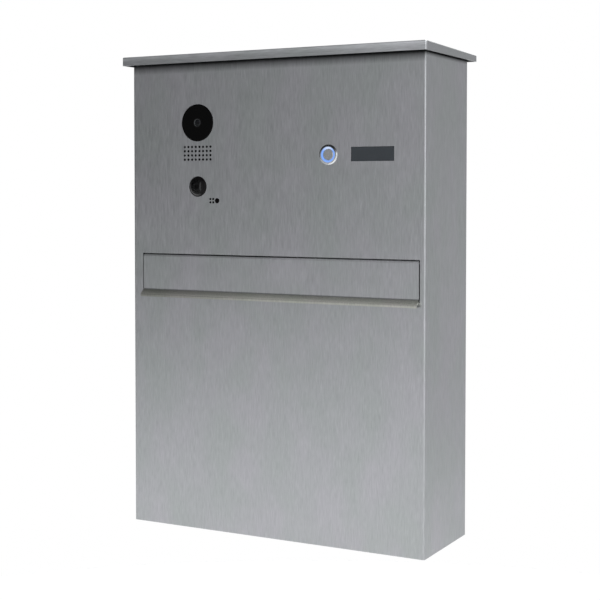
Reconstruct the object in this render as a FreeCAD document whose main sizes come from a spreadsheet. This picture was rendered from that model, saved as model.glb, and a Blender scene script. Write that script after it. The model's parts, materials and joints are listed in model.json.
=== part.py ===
import FreeCAD, Part
import os
import re

import Sketcher

# Wall mounted mailbox with a door station, built as separate pieces.
#
# Frame: +Z up, -Y is the front, +X the viewer's right when facing the front. The wall is the
# plane y = 0 and the origin is the centre of the four wall-screw holes. Sizes are millimetres.

# ---------------------------------------------------------------- driving dimensions
SIZES = {
    # casing
    "body_width": 370.0, "body_depth": 120.0, "body_height": 538.0, "wall_gap": 14.0,
    "shell_sheet": 1.5, "bend_outer": 2.0, "rear_return": 20.0, "static_gap": 0.05,
    "panel_sheet": 1.5, "panel_gap": 0.3, "panel_foot": 14.0,
    "top_sheet": 1.5, "top_flange": 15.0,
    # wall fixing, rivets and cable entry
    "screw_side_margin": 45.0, "screw_end_margin": 89.0, "screw_hole_radius": 3.25,
    "spacer_wall": 5.75, "rivet_radius": 2.0, "rivet_lap": 1.8, "rivet_head": 1.2,
    "rivet_inset": 9.0, "rivet_end_margin": 60.0, "rivet_row_gap": 139.0,
    "cable_bore": 5.0, "cable_wall": 3.0, "cable_lap": 3.0, "cable_lip_length": 3.0,
    "cable_drop": 150.0,
    # roof cap
    "roof_front": 13.7, "roof_side": 5.7, "roof_wall_clear": 0.4, "roof_lap": 3.7,
    "roof_skirt_front": 9.9, "roof_skirt_rear": 7.0, "roof_sheet": 1.5, "roof_bend": 1.2,
    "rail_width": 18.0, "rail_inset": 30.0, "rail_end_gap": 14.0, "roof_screw_radius": 2.0,
    "roof_screw_lap": 2.0, "roof_screw_head_length": 2.4, "roof_screw_reach": 2.5,
    "roof_screw_inset": 18.0,
    # mail flap and its hinge
    "flap_left_margin": 13.6, "flap_right_margin": 7.3, "flap_drop": 221.8, "flap_height": 41.3,
    "flap_gap": 0.8, "flap_lip_out": 6.5, "flap_lip_drop": 8.7,
    "flap_lip_turn": 3.2, "flap_lip_round": 3.0, "flap_bend": 1.1, "flap_rod_radius": 1.5,
    "running_gap": 0.08, "barrel_top_gap": 0.2,
    "slot_sill_drop": 3.0, "slot_edge": 0.4, "ear_gap": 1.0, "ear_sheet": 2.0, "ear_reach": 5.0,
    "ear_below": 5.0, "bracket_height": 7.2, "bracket_foot": 9.0, "rod_stub": 0.8,
    # letter chute, seal and shelf
    "chute_sheet": 1.2, "chute_foot": 16.0, "chute_foot_drop": 9.0, "chute_step": 1.7,
    "chute_rise": 5.0, "chute_run": 47.0, "chute_fall": 38.0, "chute_side_gap": 0.5,
    "seal_low": 0.6, "seal_height": 4.0, "seal_end_gap": 6.0,
    "shelf_drop": 214.0, "shelf_sheet": 1.2, "shelf_flange": 9.0,
    # bottom door, its hinge and its catch
    "door_sheet": 1.5, "door_gap": 1.2, "door_flange": 12.0, "door_hinge_in": 10.0,
    "door_hinge_up": 5.5, "door_tail": 5.0, "door_rod_radius": 2.0, "knuckle_sheet": 1.8,
    "knuckle_length": 40.0, "lug_inset": 75.0, "lug_width": 6.0, "lug_gap": 1.0,
    "lug_wall": 1.2, "lug_foot_height": 20.0, "lug_foot_width": 20.0, "lug_foot_sheet": 2.0,
    "notch_reach": 6.0, "flange_end_gap": 7.0, "magnet_length": 32.0, "magnet_depth": 10.0,
    "magnet_height": 9.0, "magnet_gap": 0.5, "magnet_inset": 40.0,
    # cam lock
    "lock_in": 22.0, "lock_rim_lap": 1.8, "lock_rim": 2.0, "lock_wall": 3.2,
    "lock_barrel": 21.8, "lock_hole_gap": 0.3, "plug_radius": 5.9, "plug_gap": 0.1,
    "plug_neck": 3.0, "plug_recess": 0.4, "key_slot_length": 8.0, "key_slot_width": 1.6,
    "key_slot_depth": 6.0, "lock_nut_lap": 2.8, "lock_nut_height": 5.0,
    "cam_reach": 19.0, "cam_width": 12.0, "cam_sheet": 2.0, "cam_lift": 0.4,
    "cam_screw_radius": 5.0, "cam_screw_head": 2.2, "keeper_reach": 10.5,
    "keeper_sheet": 2.0, "keeper_width": 30.0, "keeper_leg": 5.0, "keeper_drop": 0.2,
    # door station: camera
    "camera_x": 88.7, "camera_drop": 71.3, "camera_radius": 21.0, "camera_proud": 0.4,
    "camera_edge": 0.5, "cover_gap": 0.25, "cover_lap": 3.0,
    "cover_flange": 1.4, "gasket_sheet": 1.0, "lens_ring_wall": 1.85, "lens_radius": 3.6,
    "lens_ring_depth": 4.2, "lens_set_back": 0.5, "lens_dome": 1.2, "module_radius": 9.0,
    "module_length": 14.0, "module_base": 24.0, "module_base_sheet": 2.0,
    # door station: loudspeaker grille
    "grille_x": 88.7, "speaker_gap": 1.65, "grille_radius": 1.42, "grille_pitch_x": 4.95,
    "grille_pitch_z": 4.8, "grille_columns": 8.0, "grille_rows": 4.0,
    "speaker_width": 40.0, "speaker_height": 18.0,
    "speaker_cloth": 0.5, "speaker_basket": 5.0, "speaker_magnet": 7.5,
    "speaker_magnet_length": 6.0,
    # door station: movement sensor, microphone and light sensor
    "motion_x": 89.0, "motion_gap": 15.65, "motion_radius": 11.5, "motion_dome": 3.2,
    "motion_lap": 1.9, "motion_flange": 1.4, "motion_wall": 1.3,
    "motion_can_radius": 4.6, "motion_can_lap": 0.8, "motion_can_length": 5.0,
    "motion_can_gap": 2.5, "mic_x": 107.65, "mic_below": 16.1, "mic_hole_radius": 1.35,
    "mic_pitch": 3.75, "mic_radius": 2.9, "mic_length": 3.5, "mic_boot_wall": 0.8,
    "light_x": 114.75, "light_radius": 2.95, "light_lap": 0.3, "light_length": 12.0,
    # door station: housing
    "housing_side": 4.9, "housing_far": 6.6, "housing_above": 6.0, "housing_below": 12.3,
    "housing_depth": 29.0, "housing_wall": 2.0, "post": 8.0,
    "post_play": 0.05, "board_set_back": 20.5, "board_sheet": 1.6, "board_gap": 0.5,
    "cover_sheet": 2.0, "cover_screw_radius": 1.25, "cover_screw_length": 9.0,
    "cover_screw_lap": 1.35, "cover_screw_head_length": 1.8, "tab_width": 11.0,
    "tab_height": 16.0, "tab_sheet": 3.0, "tab_end_gap": 8.0, "stud_radius": 2.0,
    "stud_gap": 0.2, "stud_length": 11.0, "nut_lap": 1.45, "nut_height": 3.2,
    "terminal_width": 24.0, "terminal_height": 11.0, "terminal_depth": 11.0,
    "terminal_rise": 14.0, "terminal_gap": 0.6,
    # call button
    "button_right": 113.8, "button_drop": 109.8, "bezel_lap": 1.6, "bezel_proud": 1.3,
    "bezel_edge": 1.1, "barrel_wall": 0.85, "barrel_length": 20.0, "barrel_gap": 0.2,
    "ring_width": 2.0, "ring_inner": 6.5, "ring_set_back": 0.4, "ring_depth": 3.0,
    "cap_gap": 0.3, "cap_set_back": 0.3, "cap_edge": 0.4, "cap_travel": 1.2,
    "cap_lap": 0.3, "cap_flange": 1.3, "cap_play": 0.3, "stem_radius": 2.4,
    "stem_length": 4.5, "spring_play": 0.7, "spring_wire": 1.0, "spring_turns": 3.0,
    "switch_length": 9.0, "terminal_pin": 1.0, "terminal_pin_length": 6.0,
    "terminal_pin_in": 4.0, "washer_lap": 3.1, "washer_sheet": 0.8,
    "button_nut_lap": 2.6, "button_nut_height": 4.0,
    # nameplate
    "plate_right": 36.2, "plate_width": 50.0, "plate_height": 15.0, "plate_drop": 109.6,
    "plate_gap": 0.25, "plate_rim": 2.2, "plate_rim_sheet": 1.2, "insert_sheet": 0.4,
    "insert_margin": 0.6, "holder_wall": 1.6, "holder_depth": 9.0, "led_sheet": 1.6,
    "led_set_back": 5.0, "led_gap": 0.4,
}

# Places worked out from the sizes. Each name stands for an expression.
PLACES = {
    "front_y": "-wall_gap - body_depth",
    "sheet_back": "front_y + shell_sheet",
    "back_y": "-wall_gap",
    "base_z": "-body_height / 2",
    "top_z": "body_height / 2",
    "inner_x": "body_width / 2 - shell_sheet",
    "panel_rear": "back_y - shell_sheet",
    "panel_front": "panel_rear - panel_sheet",
    "spacer_radius": "screw_hole_radius + spacer_wall",
    "rivet_head_radius": "rivet_radius + rivet_lap",
    "cable_neck": "cable_bore + cable_wall",
    "cable_lip": "cable_neck + cable_lap",
    "roof_screw_head": "roof_screw_radius + roof_screw_lap",
    "screw_x": "body_width / 2 - screw_side_margin",
    "screw_z": "body_height / 2 - screw_end_margin",
    "roof_half": "body_width / 2 + roof_side",
    "roof_back": "body_depth + wall_gap - roof_wall_clear",
    "roof_under_slope": "(roof_skirt_rear - roof_skirt_front) / (roof_back + roof_front - 2 * roof_sheet)",
    "flap_left": "-body_width / 2 + flap_left_margin",
    "flap_right": "body_width / 2 - flap_right_margin",
    "barrel_inner": "flap_rod_radius + running_gap",
    "barrel_outer": "barrel_inner + shell_sheet",
    "flap_pivot_y": "front_y + barrel_outer",
    "flap_pivot_z": "top_z - flap_drop - barrel_outer - barrel_top_gap",
    "flap_low_z": "top_z - flap_drop - flap_height",
    "flap_plate": "flap_pivot_z - flap_low_z",
    "lip_fall": "flap_lip_drop - flap_lip_turn",
    "lip_mitre": "shell_sheet * flap_lip_out / (sqrt(flap_lip_out^2 + lip_fall^2) + lip_fall)",
    "door_pivot_y": "back_y - door_hinge_in",
    "door_pivot_z": "base_z + door_hinge_up",
    "chute_slant": "chute_sheet * sqrt(chute_slope_run^2 + chute_fall^2) / chute_slope_run",
    "chute_slope_run": "chute_run - chute_step - chute_sheet",
    "door_half": "inner_x - door_gap",
    "door_front": "sheet_back + door_gap - door_pivot_y",
    "knuckle_inner": "door_rod_radius + running_gap",
    "knuckle_outer": "knuckle_inner + knuckle_sheet",
    "lug_nose": "door_rod_radius + lug_wall",
    "lug_x": "body_width / 2 - lug_inset",
    "lock_barrel_radius": "plug_radius + plug_gap + lock_wall",
    "lock_rim_radius": "lock_barrel_radius + lock_rim_lap",
    "lock_nut_flats": "2 * (lock_barrel_radius + lock_nut_lap)",
    "lock_y": "sheet_back + lock_in",
    "cam_low": "base_z + lock_barrel + cam_lift",
    "camera_at": "-body_width / 2 + camera_x",
    "grille_at": "-body_width / 2 + grille_x",
    "motion_at": "-body_width / 2 + motion_x",
    "mic_at": "-body_width / 2 + mic_x",
    "light_at": "-body_width / 2 + light_x",
    "button_at": "body_width / 2 - button_right",
    "plate_at": "body_width / 2 - plate_right - plate_width / 2",
    "grille_drop": "camera_drop + cover_flange_radius + speaker_gap + speaker_height / 2",
    "motion_drop": "grille_drop + speaker_height / 2 + motion_gap + motion_flange_radius",
    "mic_drop": "motion_drop + mic_below",
    "housing_left": "camera_x - cover_flange_radius - housing_side",
    "housing_width": "light_x + light_flange_radius + housing_far - housing_left",
    "housing_x": "-body_width / 2 + housing_left",
    "housing_top_drop": "camera_drop - cover_flange_radius - housing_above",
    "housing_height": "mic_drop + mic_boot_radius + housing_below - housing_top_drop",
    "housing_low": "top_z - housing_top_drop - housing_height",
    "housing_rear": "shell_sheet + housing_depth",
    "cover_flange_radius": "camera_radius + cover_lap",
    "lens_ring_radius": "lens_radius + static_gap + lens_ring_wall",
    "motion_flange_radius": "motion_radius + motion_lap",
    "motion_can_flange": "motion_can_radius + motion_can_lap",
    "mic_boot_radius": "mic_radius + static_gap + mic_boot_wall",
    "light_flange_radius": "light_radius + light_lap",
    "post_hole": "cover_screw_radius + post_play",
    "cover_screw_head": "cover_screw_radius + cover_screw_lap",
    "nut_flats": "2 * (stud_radius + static_gap + nut_lap)",
    "ring_radius": "ring_inner + ring_width",
    "barrel_radius": "ring_radius + static_gap + barrel_wall",
    "bezel_radius": "barrel_radius + bezel_lap",
    "washer_radius": "barrel_radius + washer_lap",
    "button_nut_flats": "2 * (barrel_radius + button_nut_lap)",
    "cap_flange_radius": "ring_inner + cap_lap",
    "cap_bore": "cap_flange_radius + cap_play",
    "spring_radius": "stem_radius + spring_play + spring_wire / 2",
    "flange_front": "shell_sheet + gasket_sheet",
    "flange_back": "flange_front + cover_flange",
    "ring_back": "ring_set_back - bezel_proud + ring_depth",
    "cap_front": "cap_set_back - bezel_proud",
    "cap_back": "ring_back + cap_flange",
    "dome_ball": "(motion_radius * motion_radius + motion_dome * motion_dome) / (2 * motion_dome)",
}

WORDS = re.compile(r"[a-z][a-z_]*[a-z]")
TURNS = {
    "x": FreeCAD.Rotation(FreeCAD.Vector(0, 1, 0), 90),
    "y": FreeCAD.Rotation(FreeCAD.Vector(1, 0, 0), -90),
    "z": FreeCAD.Rotation(),
}
LEFT_AND_RIGHT = ("-", "")
THROUGH = "3 * shell_sheet"

doc = FreeCAD.newDocument("WallMailbox")
sheet = doc.addObject("Spreadsheet::Sheet", "Sizes")
for row, (alias, size) in enumerate(SIZES.items(), start=1):
    sheet.set("A%d" % row, alias)
    sheet.set("B%d" % row, str(size))
    sheet.setAlias("B%d" % row, alias)
doc.recompute()
nodes = []


# ---------------------------------------------------------------- helpers
def bound(text):
    """Return an expression with each name replaced by its cell or its formula."""
    def swap(match):
        word = match.group(0)
        if word in PLACES:
            return "(" + bound(PLACES[word]) + ")"
        return "Sizes." + word if word in SIZES else word
    return WORDS.sub(swap, text)


def value(text):
    """Return the number that an expression has now."""
    return float(sheet.evalExpression(bound(text)))


def place(thing, x, y, z, axis="z"):
    """Bind a thing's place to expressions, with its own z axis along the given axis."""
    thing.Placement = FreeCAD.Placement(FreeCAD.Vector(), TURNS[axis])
    for name, text in (("x", x), ("y", y), ("z", z)):
        thing.setExpression("Placement.Base." + name, bound(text))
    return thing


def node(thing, label):
    """Give a finished sub-part its label, which is also its file's name."""
    thing.Label = label
    nodes.append(thing)
    return thing


def block(x, y, z, width, depth, height):
    """A Part box between expressions: its low corner and its three sizes."""
    thing = doc.addObject("Part::Box", "block")
    for name, text in (("Length", width), ("Width", depth), ("Height", height)):
        thing.setExpression(name, bound(text))
    return place(thing, x, y, z)


def rod(axis, radius, length, x, y, z):
    """A Part cylinder that starts at a point and runs along +x, +y or +z."""
    thing = doc.addObject("Part::Cylinder", "rod")
    thing.setExpression("Radius", bound(radius))
    thing.setExpression("Height", bound(length))
    return place(thing, x, y, z, axis)


def hexagon(axis, flats, height, x, y, z):
    """A Part prism with six sides, given by the size across its flats."""
    thing = doc.addObject("Part::Prism", "hexagon")
    thing.Polygon = 6
    thing.setExpression("Circumradius", bound("(%s) / sqrt(3)" % flats))
    thing.setExpression("Height", bound(height))
    return place(thing, x, y, z, axis)


def fuse(things):
    """One solid from several Part objects that touch."""
    thing = doc.addObject("Part::MultiFuse", "fused")
    thing.Shapes = things
    return thing


def cut(base, tool):
    """A Part object with another one taken away."""
    thing = doc.addObject("Part::Cut", "trimmed")
    thing.Base = base
    thing.Tool = tool
    return thing


def group(things, label):
    """Identical separate solids kept in one node."""
    thing = doc.addObject("Part::Compound", label)
    thing.Links = things
    return node(thing, label)


class Piece:
    """A PartDesign body whose sketches and features are bound to the sheet."""

    def __init__(self, label, x="0", y="0", z="0"):
        self.body = doc.addObject("PartDesign::Body", label)
        self.label = label
        place(self.body, x, y, z)
        node(self.body, label)

    def sketch(self, plane, offset="0"):
        """A new sketch on one of the body's origin planes, moved along its normal."""
        found = self.body.newObject("Sketcher::SketchObject", self.label + "_sketch")
        support = [item for item in self.body.Origin.OriginFeatures if item.Role == plane + "_Plane"]
        found.AttachmentSupport = (support[0], "")
        found.MapMode = "FlatFace"
        found.setExpression("AttachmentOffset.Base.z", bound(offset))
        return found

    def feature(self, kind, sketch, sizes, reverse=False, cuts=False):
        """Add a feature made from a sketch, and check that it changed the solid."""
        doc.recompute()
        before = self.body.Shape.Volume if self.body.Tip else 0.0
        thing = self.body.newObject("PartDesign::" + kind, self.label + "_" + kind.lower())
        thing.Profile = sketch
        thing.Reversed = reverse
        for name, text in sizes.items():
            thing.setExpression(name, bound(text))
        if kind == "Revolution":
            thing.ReferenceAxis = (sketch, ["V_Axis"])
            thing.Angle = 360
        doc.recompute()
        change = self.body.Shape.Volume - before
        if change * (-1 if cuts else 1) <= 0:
            raise ValueError("%s: %s changed nothing" % (self.label, kind))
        return thing

    def pad(self, sketch, length, reverse=False):
        """Add material along the sketch's normal."""
        return self.feature("Pad", sketch, {"Length": length}, reverse)

    def pocket(self, sketch, length, reverse=False):
        """Take material away, against the sketch's normal."""
        return self.feature("Pocket", sketch, {"Length": length}, reverse, cuts=True)

    def revolve(self, sketch):
        """Turn the sketch about its own vertical axis."""
        return self.feature("Revolution", sketch, {})

    def dress(self, kind, radius, wanted):
        """Fillet or chamfer the edges for which wanted(edge) is true."""
        doc.recompute()
        tip = self.body.Tip
        names = ["Edge%d" % (index + 1) for index, edge in enumerate(tip.Shape.Edges) if wanted(edge)]
        if not names:
            raise ValueError("%s: no edges to %s" % (self.label, kind))
        thing = self.body.newObject("PartDesign::" + kind, self.label + "_" + kind.lower())
        thing.Base = (tip, names)
        thing.setExpression("Radius" if kind == "Fillet" else "Size", bound(radius))
        doc.recompute()
        return thing


def outline(sketch, points):
    """Draw a closed outline through pairs of expressions."""
    first = sketch.GeometryCount
    count = len(points)
    corners = [FreeCAD.Vector(value(across), value(up), 0) for across, up in points]
    lines = [Part.LineSegment(corners[index], corners[(index + 1) % count]) for index in range(count)]
    sketch.addGeometry(lines, False)
    for index in range(count):
        following = first + (index + 1) % count
        sketch.addConstraint(Sketcher.Constraint("Coincident", first + index, 2, following, 1))
    for index, point in enumerate(points):
        pin(sketch, first + index, 1, point)


def pin(sketch, geometry, position, point):
    """Hold a sketch point at a pair of expressions from the sketch's origin."""
    for kind, text in zip(("DistanceX", "DistanceY"), point):
        rule = Sketcher.Constraint(kind, -1, 1, geometry, position, value(text))
        number = sketch.addConstraint(rule)
        sketch.setExpression("Constraints[%d]" % number, bound(text))


def rectangle(sketch, left, right, low, high):
    """Draw a rectangle between four expressions."""
    outline(sketch, [(left, low), (right, low), (right, high), (left, high)])


def circle(sketch, across, up, radius):
    """Draw a circle held by expressions."""
    centre = FreeCAD.Vector(value(across), value(up), 0)
    number = sketch.addGeometry(Part.Circle(centre, FreeCAD.Vector(0, 0, 1), value(radius)), False)
    pin(sketch, number, 3, (across, up))
    rule = sketch.addConstraint(Sketcher.Constraint("Radius", number, value(radius)))
    sketch.setExpression("Constraints[%d]" % rule, bound(radius))


def upright_corner(shape, near=1e-3):
    """A test for the vertical edges at the four corners of a shape's box."""
    box = shape.BoundBox

    def wanted(edge):
        ends = [vertex.Point for vertex in edge.Vertexes]
        if len(ends) != 2 or abs(ends[0].z - ends[1].z) < near:
            return False
        at_side = min(abs(ends[0].x - box.XMin), abs(ends[0].x - box.XMax)) < near
        at_end = min(abs(ends[0].y - box.YMin), abs(ends[0].y - box.YMax)) < near
        return at_side and at_end and (ends[0] - ends[1]).cross(FreeCAD.Vector(0, 0, 1)).Length < near
    return wanted


def lengthwise_edge(y, z, near=1e-3):
    """A test for the edges along X that pass through a point of the YZ plane."""
    def wanted(edge):
        ends = [vertex.Point for vertex in edge.Vertexes]
        if len(ends) != 2 or abs(ends[0].x - ends[1].x) < near:
            return False
        return all(abs(end.y - y) < near and abs(end.z - z) < near for end in ends)
    return wanted


def rivet_points():
    """The rivets' places on the casing's rear returns, measured from the middle."""
    rows = ["%d * rivet_row_gap" % step for step in (-1, 0, 1)]
    ends = ["body_height / 2 - rivet_end_margin", "-body_height / 2 + rivet_end_margin"]
    return [(side + "(inner_x - rivet_inset)", height) for side in LEFT_AND_RIGHT for height in rows + ends]


def screw_points():
    """The four wall screws' places, measured from the middle."""
    return [(side + "screw_x", end + "screw_z") for side in LEFT_AND_RIGHT for end in LEFT_AND_RIGHT]


# ---------------------------------------------------------------- casing
def front_shell():
    """Front and sides folded from one sheet, with returns at the rear and every front opening."""
    piece = Piece("front_shell", "0", "front_y", "base_z")
    plan = piece.sketch("XY")
    rectangle(plan, "-body_width / 2", "body_width / 2", "0", "body_depth")
    piece.pad(plan, "body_height")
    piece.dress("Fillet", "bend_outer", upright_corner(piece.body.Tip.Shape))
    inside = piece.sketch("XY")
    rectangle(inside, "-inner_x", "inner_x", "shell_sheet", "body_depth - shell_sheet")
    piece.pocket(inside, "body_height", reverse=True)
    rear = piece.sketch("XY")
    edge = "body_width / 2 - rear_return"
    rectangle(rear, "-(%s)" % edge, edge, "body_depth - 2 * shell_sheet", "body_depth + shell_sheet")
    piece.pocket(rear, "body_height", reverse=True)
    openings = piece.sketch("XZ")
    middle = "body_height / 2 + "
    rectangle(openings, "flap_left - flap_gap", "flap_right + flap_gap",
              middle + "flap_low_z - slot_sill_drop", "body_height - flap_drop")
    rectangle(openings, "plate_at - plate_width / 2 - plate_gap", "plate_at + plate_width / 2 + plate_gap",
              "body_height - plate_drop - plate_height / 2 - plate_gap",
              "body_height - plate_drop + plate_height / 2 + plate_gap")
    circle(openings, "camera_at", "body_height - camera_drop", "camera_radius + cover_gap")
    circle(openings, "motion_at", "body_height - motion_drop", "motion_radius + cover_gap")
    circle(openings, "light_at", "body_height - mic_drop", "light_radius + static_gap")
    circle(openings, "button_at", "body_height - button_drop", "barrel_radius + barrel_gap")
    for side in LEFT_AND_RIGHT:
        for end in LEFT_AND_RIGHT:
            circle(openings, "mic_at + %smic_pitch / 2" % (side or "+"),
                   "body_height - mic_drop + %smic_pitch / 2" % (end or "+"), "mic_hole_radius")
    piece.pocket(openings, THROUGH)
    slot_top = value("body_height - flap_drop")
    slot_low = value(middle + "flap_low_z - slot_sill_drop")
    slot_ends = (value("flap_left - flap_gap"), value("flap_right + flap_gap"))

    def slot_front_edge(edge):
        box = edge.BoundBox
        if box.YMax > 1e-3 or box.ZMin < slot_low - 1e-3 or box.ZMax > slot_top + 1e-3:
            return False
        return any(abs(box.XMin - end) < 1e-3 for end in slot_ends)
    piece.dress("Chamfer", "slot_edge", slot_front_edge)
    grille_column(piece)
    returns = piece.sketch("XZ", "-body_depth - shell_sheet")
    for across, up in rivet_points():
        circle(returns, across, middle + up, "rivet_radius + static_gap")
    piece.pocket(returns, THROUGH, reverse=True)


def grille_column(piece):
    """The loudspeaker holes: one column, repeated across."""
    column = piece.sketch("XZ")
    for step in range(round(value("grille_rows"))):
        circle(column, "grille_at - (grille_columns - 1) / 2 * grille_pitch_x",
               "body_height - grille_drop + (%d - (grille_rows - 1) / 2) * grille_pitch_z" % step,
               "grille_radius")
    holes = piece.pocket(column, THROUGH)
    pattern = piece.body.newObject("PartDesign::LinearPattern", "front_shell_grille")
    pattern.Originals = [holes]
    pattern.Direction = (column, ["H_Axis"])
    pattern.setExpression("Length", bound("(grille_columns - 1) * grille_pitch_x"))
    pattern.setExpression("Occurrences", bound("grille_columns"))
    piece.body.Tip = pattern
    doc.recompute()


def back_panel():
    """Flat rear panel with the wall-screw holes, the rivet holes and the cable entry."""
    piece = Piece("back_panel", "0", "panel_front", "0")
    face = piece.sketch("XZ", "-panel_sheet")
    half = "inner_x - panel_gap"
    rectangle(face, "-(%s)" % half, half, "base_z + panel_foot", "top_z")
    for across, up in screw_points():
        circle(face, across, up, "screw_hole_radius")
    for across, up in rivet_points():
        circle(face, across, up, "rivet_radius + static_gap")
    circle(face, "0", "top_z - cable_drop", "cable_neck + static_gap")
    piece.pad(face, "panel_sheet")


def rivets():
    """Rivets that join the back panel to the casing's returns."""
    made = []
    for across, up in rivet_points():
        shank = rod("y", "rivet_radius", "panel_sheet + shell_sheet", across, "panel_front", up)
        heads = [rod("y", "rivet_head_radius", "rivet_head", across, start, up)
                 for start in ("panel_front - rivet_head", "back_y")]
        made.append(fuse([shank] + heads))
    group(made, "back_panel_rivets")


def wall_spacers():
    """Tubes that hold the back panel off the wall, one at each wall screw."""
    length = "wall_gap + shell_sheet"
    made = [cut(rod("y", "spacer_radius", length, across, "panel_rear", up),
                rod("y", "screw_hole_radius", length, across, "panel_rear", up))
            for across, up in screw_points()]
    group(made, "wall_spacers")


def cable_grommet():
    """Rubber grommet in the back panel's cable entry."""
    piece = Piece("cable_grommet", "0", "panel_front", "top_z - cable_drop")
    profile = piece.sketch("XY")
    rear = "panel_sheet + cable_lip_length"
    outline(profile, [("cable_bore", "-cable_lip_length"), ("cable_lip", "-cable_lip_length"),
                      ("cable_lip", "0"), ("cable_neck", "0"), ("cable_neck", "panel_sheet"),
                      ("cable_lip", "panel_sheet"), ("cable_lip", rear), ("cable_bore", rear)])
    piece.revolve(profile)


def top_panel():
    """Top of the casing, under the roof, with a flange down each side."""
    piece = Piece("top_panel", "0", "sheet_back", "top_z")
    face = piece.sketch("XZ")
    outer = "inner_x - static_gap"
    inner = outer + " - top_sheet"
    outline(face, [("-(%s)" % outer, "0"), ("-(%s)" % outer, "-top_flange"),
                   ("-(%s)" % inner, "-top_flange"), ("-(%s)" % inner, "-top_sheet"),
                   (inner, "-top_sheet"), (inner, "-top_flange"), (outer, "-top_flange"), (outer, "0")])
    piece.pad(face, "panel_front - sheet_back", reverse=True)
    holes = piece.sketch("XY")
    for across, along in roof_screw_points("sheet_back"):
        circle(holes, across, along, "roof_screw_radius + static_gap")
    piece.pocket(holes, THROUGH)


def roof_screw_points(zero):
    """The roof screws' places, with y measured from the named zero."""
    near = "front_y + rail_end_gap + roof_screw_inset - " + zero
    far = "back_y - rail_end_gap - roof_screw_inset - " + zero
    across = "body_width / 2 - rail_inset - rail_width / 2"
    return [(side + "(%s)" % across, along) for side in LEFT_AND_RIGHT for along in (near, far)]


def roof_cap():
    """Sloping cap folded down at all four edges, deeper at the front than at the rear."""
    piece = Piece("roof_cap", "0", "front_y", "top_z - roof_lap")
    side = piece.sketch("YZ", "-roof_half")
    outline(side, [("-roof_front", "0"), ("roof_back", "0"), ("roof_back", "roof_skirt_rear"),
                   ("-roof_front", "roof_skirt_front")])
    piece.pad(side, "2 * roof_half")
    shape = piece.body.Tip.Shape
    corner = upright_corner(shape)

    def outer_bend(edge):
        return corner(edge) or min(vertex.Z for vertex in edge.Vertexes) > shape.BoundBox.ZMin + 1
    piece.dress("Fillet", "roof_bend", outer_bend)
    hollow = piece.sketch("YZ", "-roof_half + roof_sheet")
    near = "-roof_front + roof_sheet"
    far = "roof_back - roof_sheet"
    outline(hollow, [(near, "-roof_sheet"), (far, "-roof_sheet"), (far, "roof_skirt_rear - roof_sheet"),
                     (near, "roof_skirt_front - roof_sheet")])
    piece.pocket(hollow, "2 * roof_half - 2 * roof_sheet", reverse=True)


def roof_rails():
    """Two tapered rails that carry the cap on the casing's top panel."""
    near = "rail_end_gap"
    far = "body_depth - rail_end_gap"
    under = "roof_skirt_front - roof_sheet - roof_lap + roof_under_slope * (%s + roof_front - roof_sheet)"
    starts = {"left": "-body_width / 2 + rail_inset", "right": "body_width / 2 - rail_inset - rail_width"}
    for side, start in starts.items():
        piece = Piece("roof_rail_" + side, "0", "front_y", "top_z")
        wedge = piece.sketch("YZ", start)
        outline(wedge, [(near, "0"), (far, "0"), (far, under % far), (near, under % near)])
        piece.pad(wedge, "rail_width")
        holes = piece.sketch("XY")
        for across, along in roof_screw_points("front_y"):
            if across.startswith("-") == (side == "left"):
                circle(holes, across, along, "roof_screw_radius + static_gap")
        piece.pocket(holes, "roof_screw_reach", reverse=True)


def roof_screws():
    """Screws that hold the rails to the top panel from inside the casing."""
    made = []
    for across, along in roof_screw_points("0"):
        under = "top_z - top_sheet"
        shank = rod("z", "roof_screw_radius", "top_sheet + roof_screw_reach", across, along, under)
        head = rod("z", "roof_screw_head", "roof_screw_head_length", across, along,
                   under + " - roof_screw_head_length")
        made.append(fuse([shank, head]))
    group(made, "roof_screws")


def partition_shelf():
    """Shelf between the door-station space and the letter space, with two stiffening flanges."""
    piece = Piece("partition_shelf", "0", "sheet_back", "top_z - shelf_drop")
    side = piece.sketch("YZ", "-inner_x + panel_gap")
    rear = "panel_front - sheet_back"
    outline(side, [("0", "0"), (rear, "0"), (rear, "shelf_flange"), (rear + " - shelf_sheet", "shelf_flange"),
                   (rear + " - shelf_sheet", "shelf_sheet"), ("shelf_sheet", "shelf_sheet"),
                   ("shelf_sheet", "shelf_flange"), ("0", "shelf_flange")])
    piece.pad(side, "2 * inner_x - 2 * panel_gap")


# ---------------------------------------------------------------- mail flap
def mail_flap():
    """Flap plate with a barrel rolled round the hinge rod and a lip bent out along its foot."""
    piece = Piece("mail_flap", "0", "flap_pivot_y", "flap_pivot_z")
    length = "flap_right - flap_left"
    barrel = piece.sketch("YZ", "flap_left")
    circle(barrel, "0", "0", "barrel_outer")
    circle(barrel, "0", "0", "barrel_inner")
    piece.pad(barrel, length)
    plate = piece.sketch("YZ", "flap_left")
    rectangle(plate, "-barrel_outer", "-barrel_inner", "-flap_plate", "0")
    piece.pad(plate, length)
    lip = piece.sketch("YZ", "flap_left")
    tip = "-barrel_outer - flap_lip_out"
    turn = "-flap_plate - lip_fall"
    low = "-flap_plate - flap_lip_drop"
    outline(lip, [("-barrel_outer", "-flap_plate"), (tip, turn), (tip, low),
                  (tip + " + shell_sheet", low), (tip + " + shell_sheet", turn + " - lip_mitre"),
                  ("-barrel_inner", "-flap_plate - lip_mitre"), ("-barrel_inner", "-flap_plate")])
    piece.pad(lip, length)
    bends = {"flap_bend": [("-barrel_outer", "-flap_plate"), ("-barrel_inner", "-flap_plate - lip_mitre")],
             "flap_lip_round": [(tip, turn)],
             "flap_lip_round - shell_sheet": [(tip + " + shell_sheet", turn + " - lip_mitre")]}
    for radius, corners in bends.items():
        tests = [lengthwise_edge(value(across), value(up)) for across, up in corners]
        piece.dress("Fillet", radius, lambda edge: any(test(edge) for test in tests))


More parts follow.
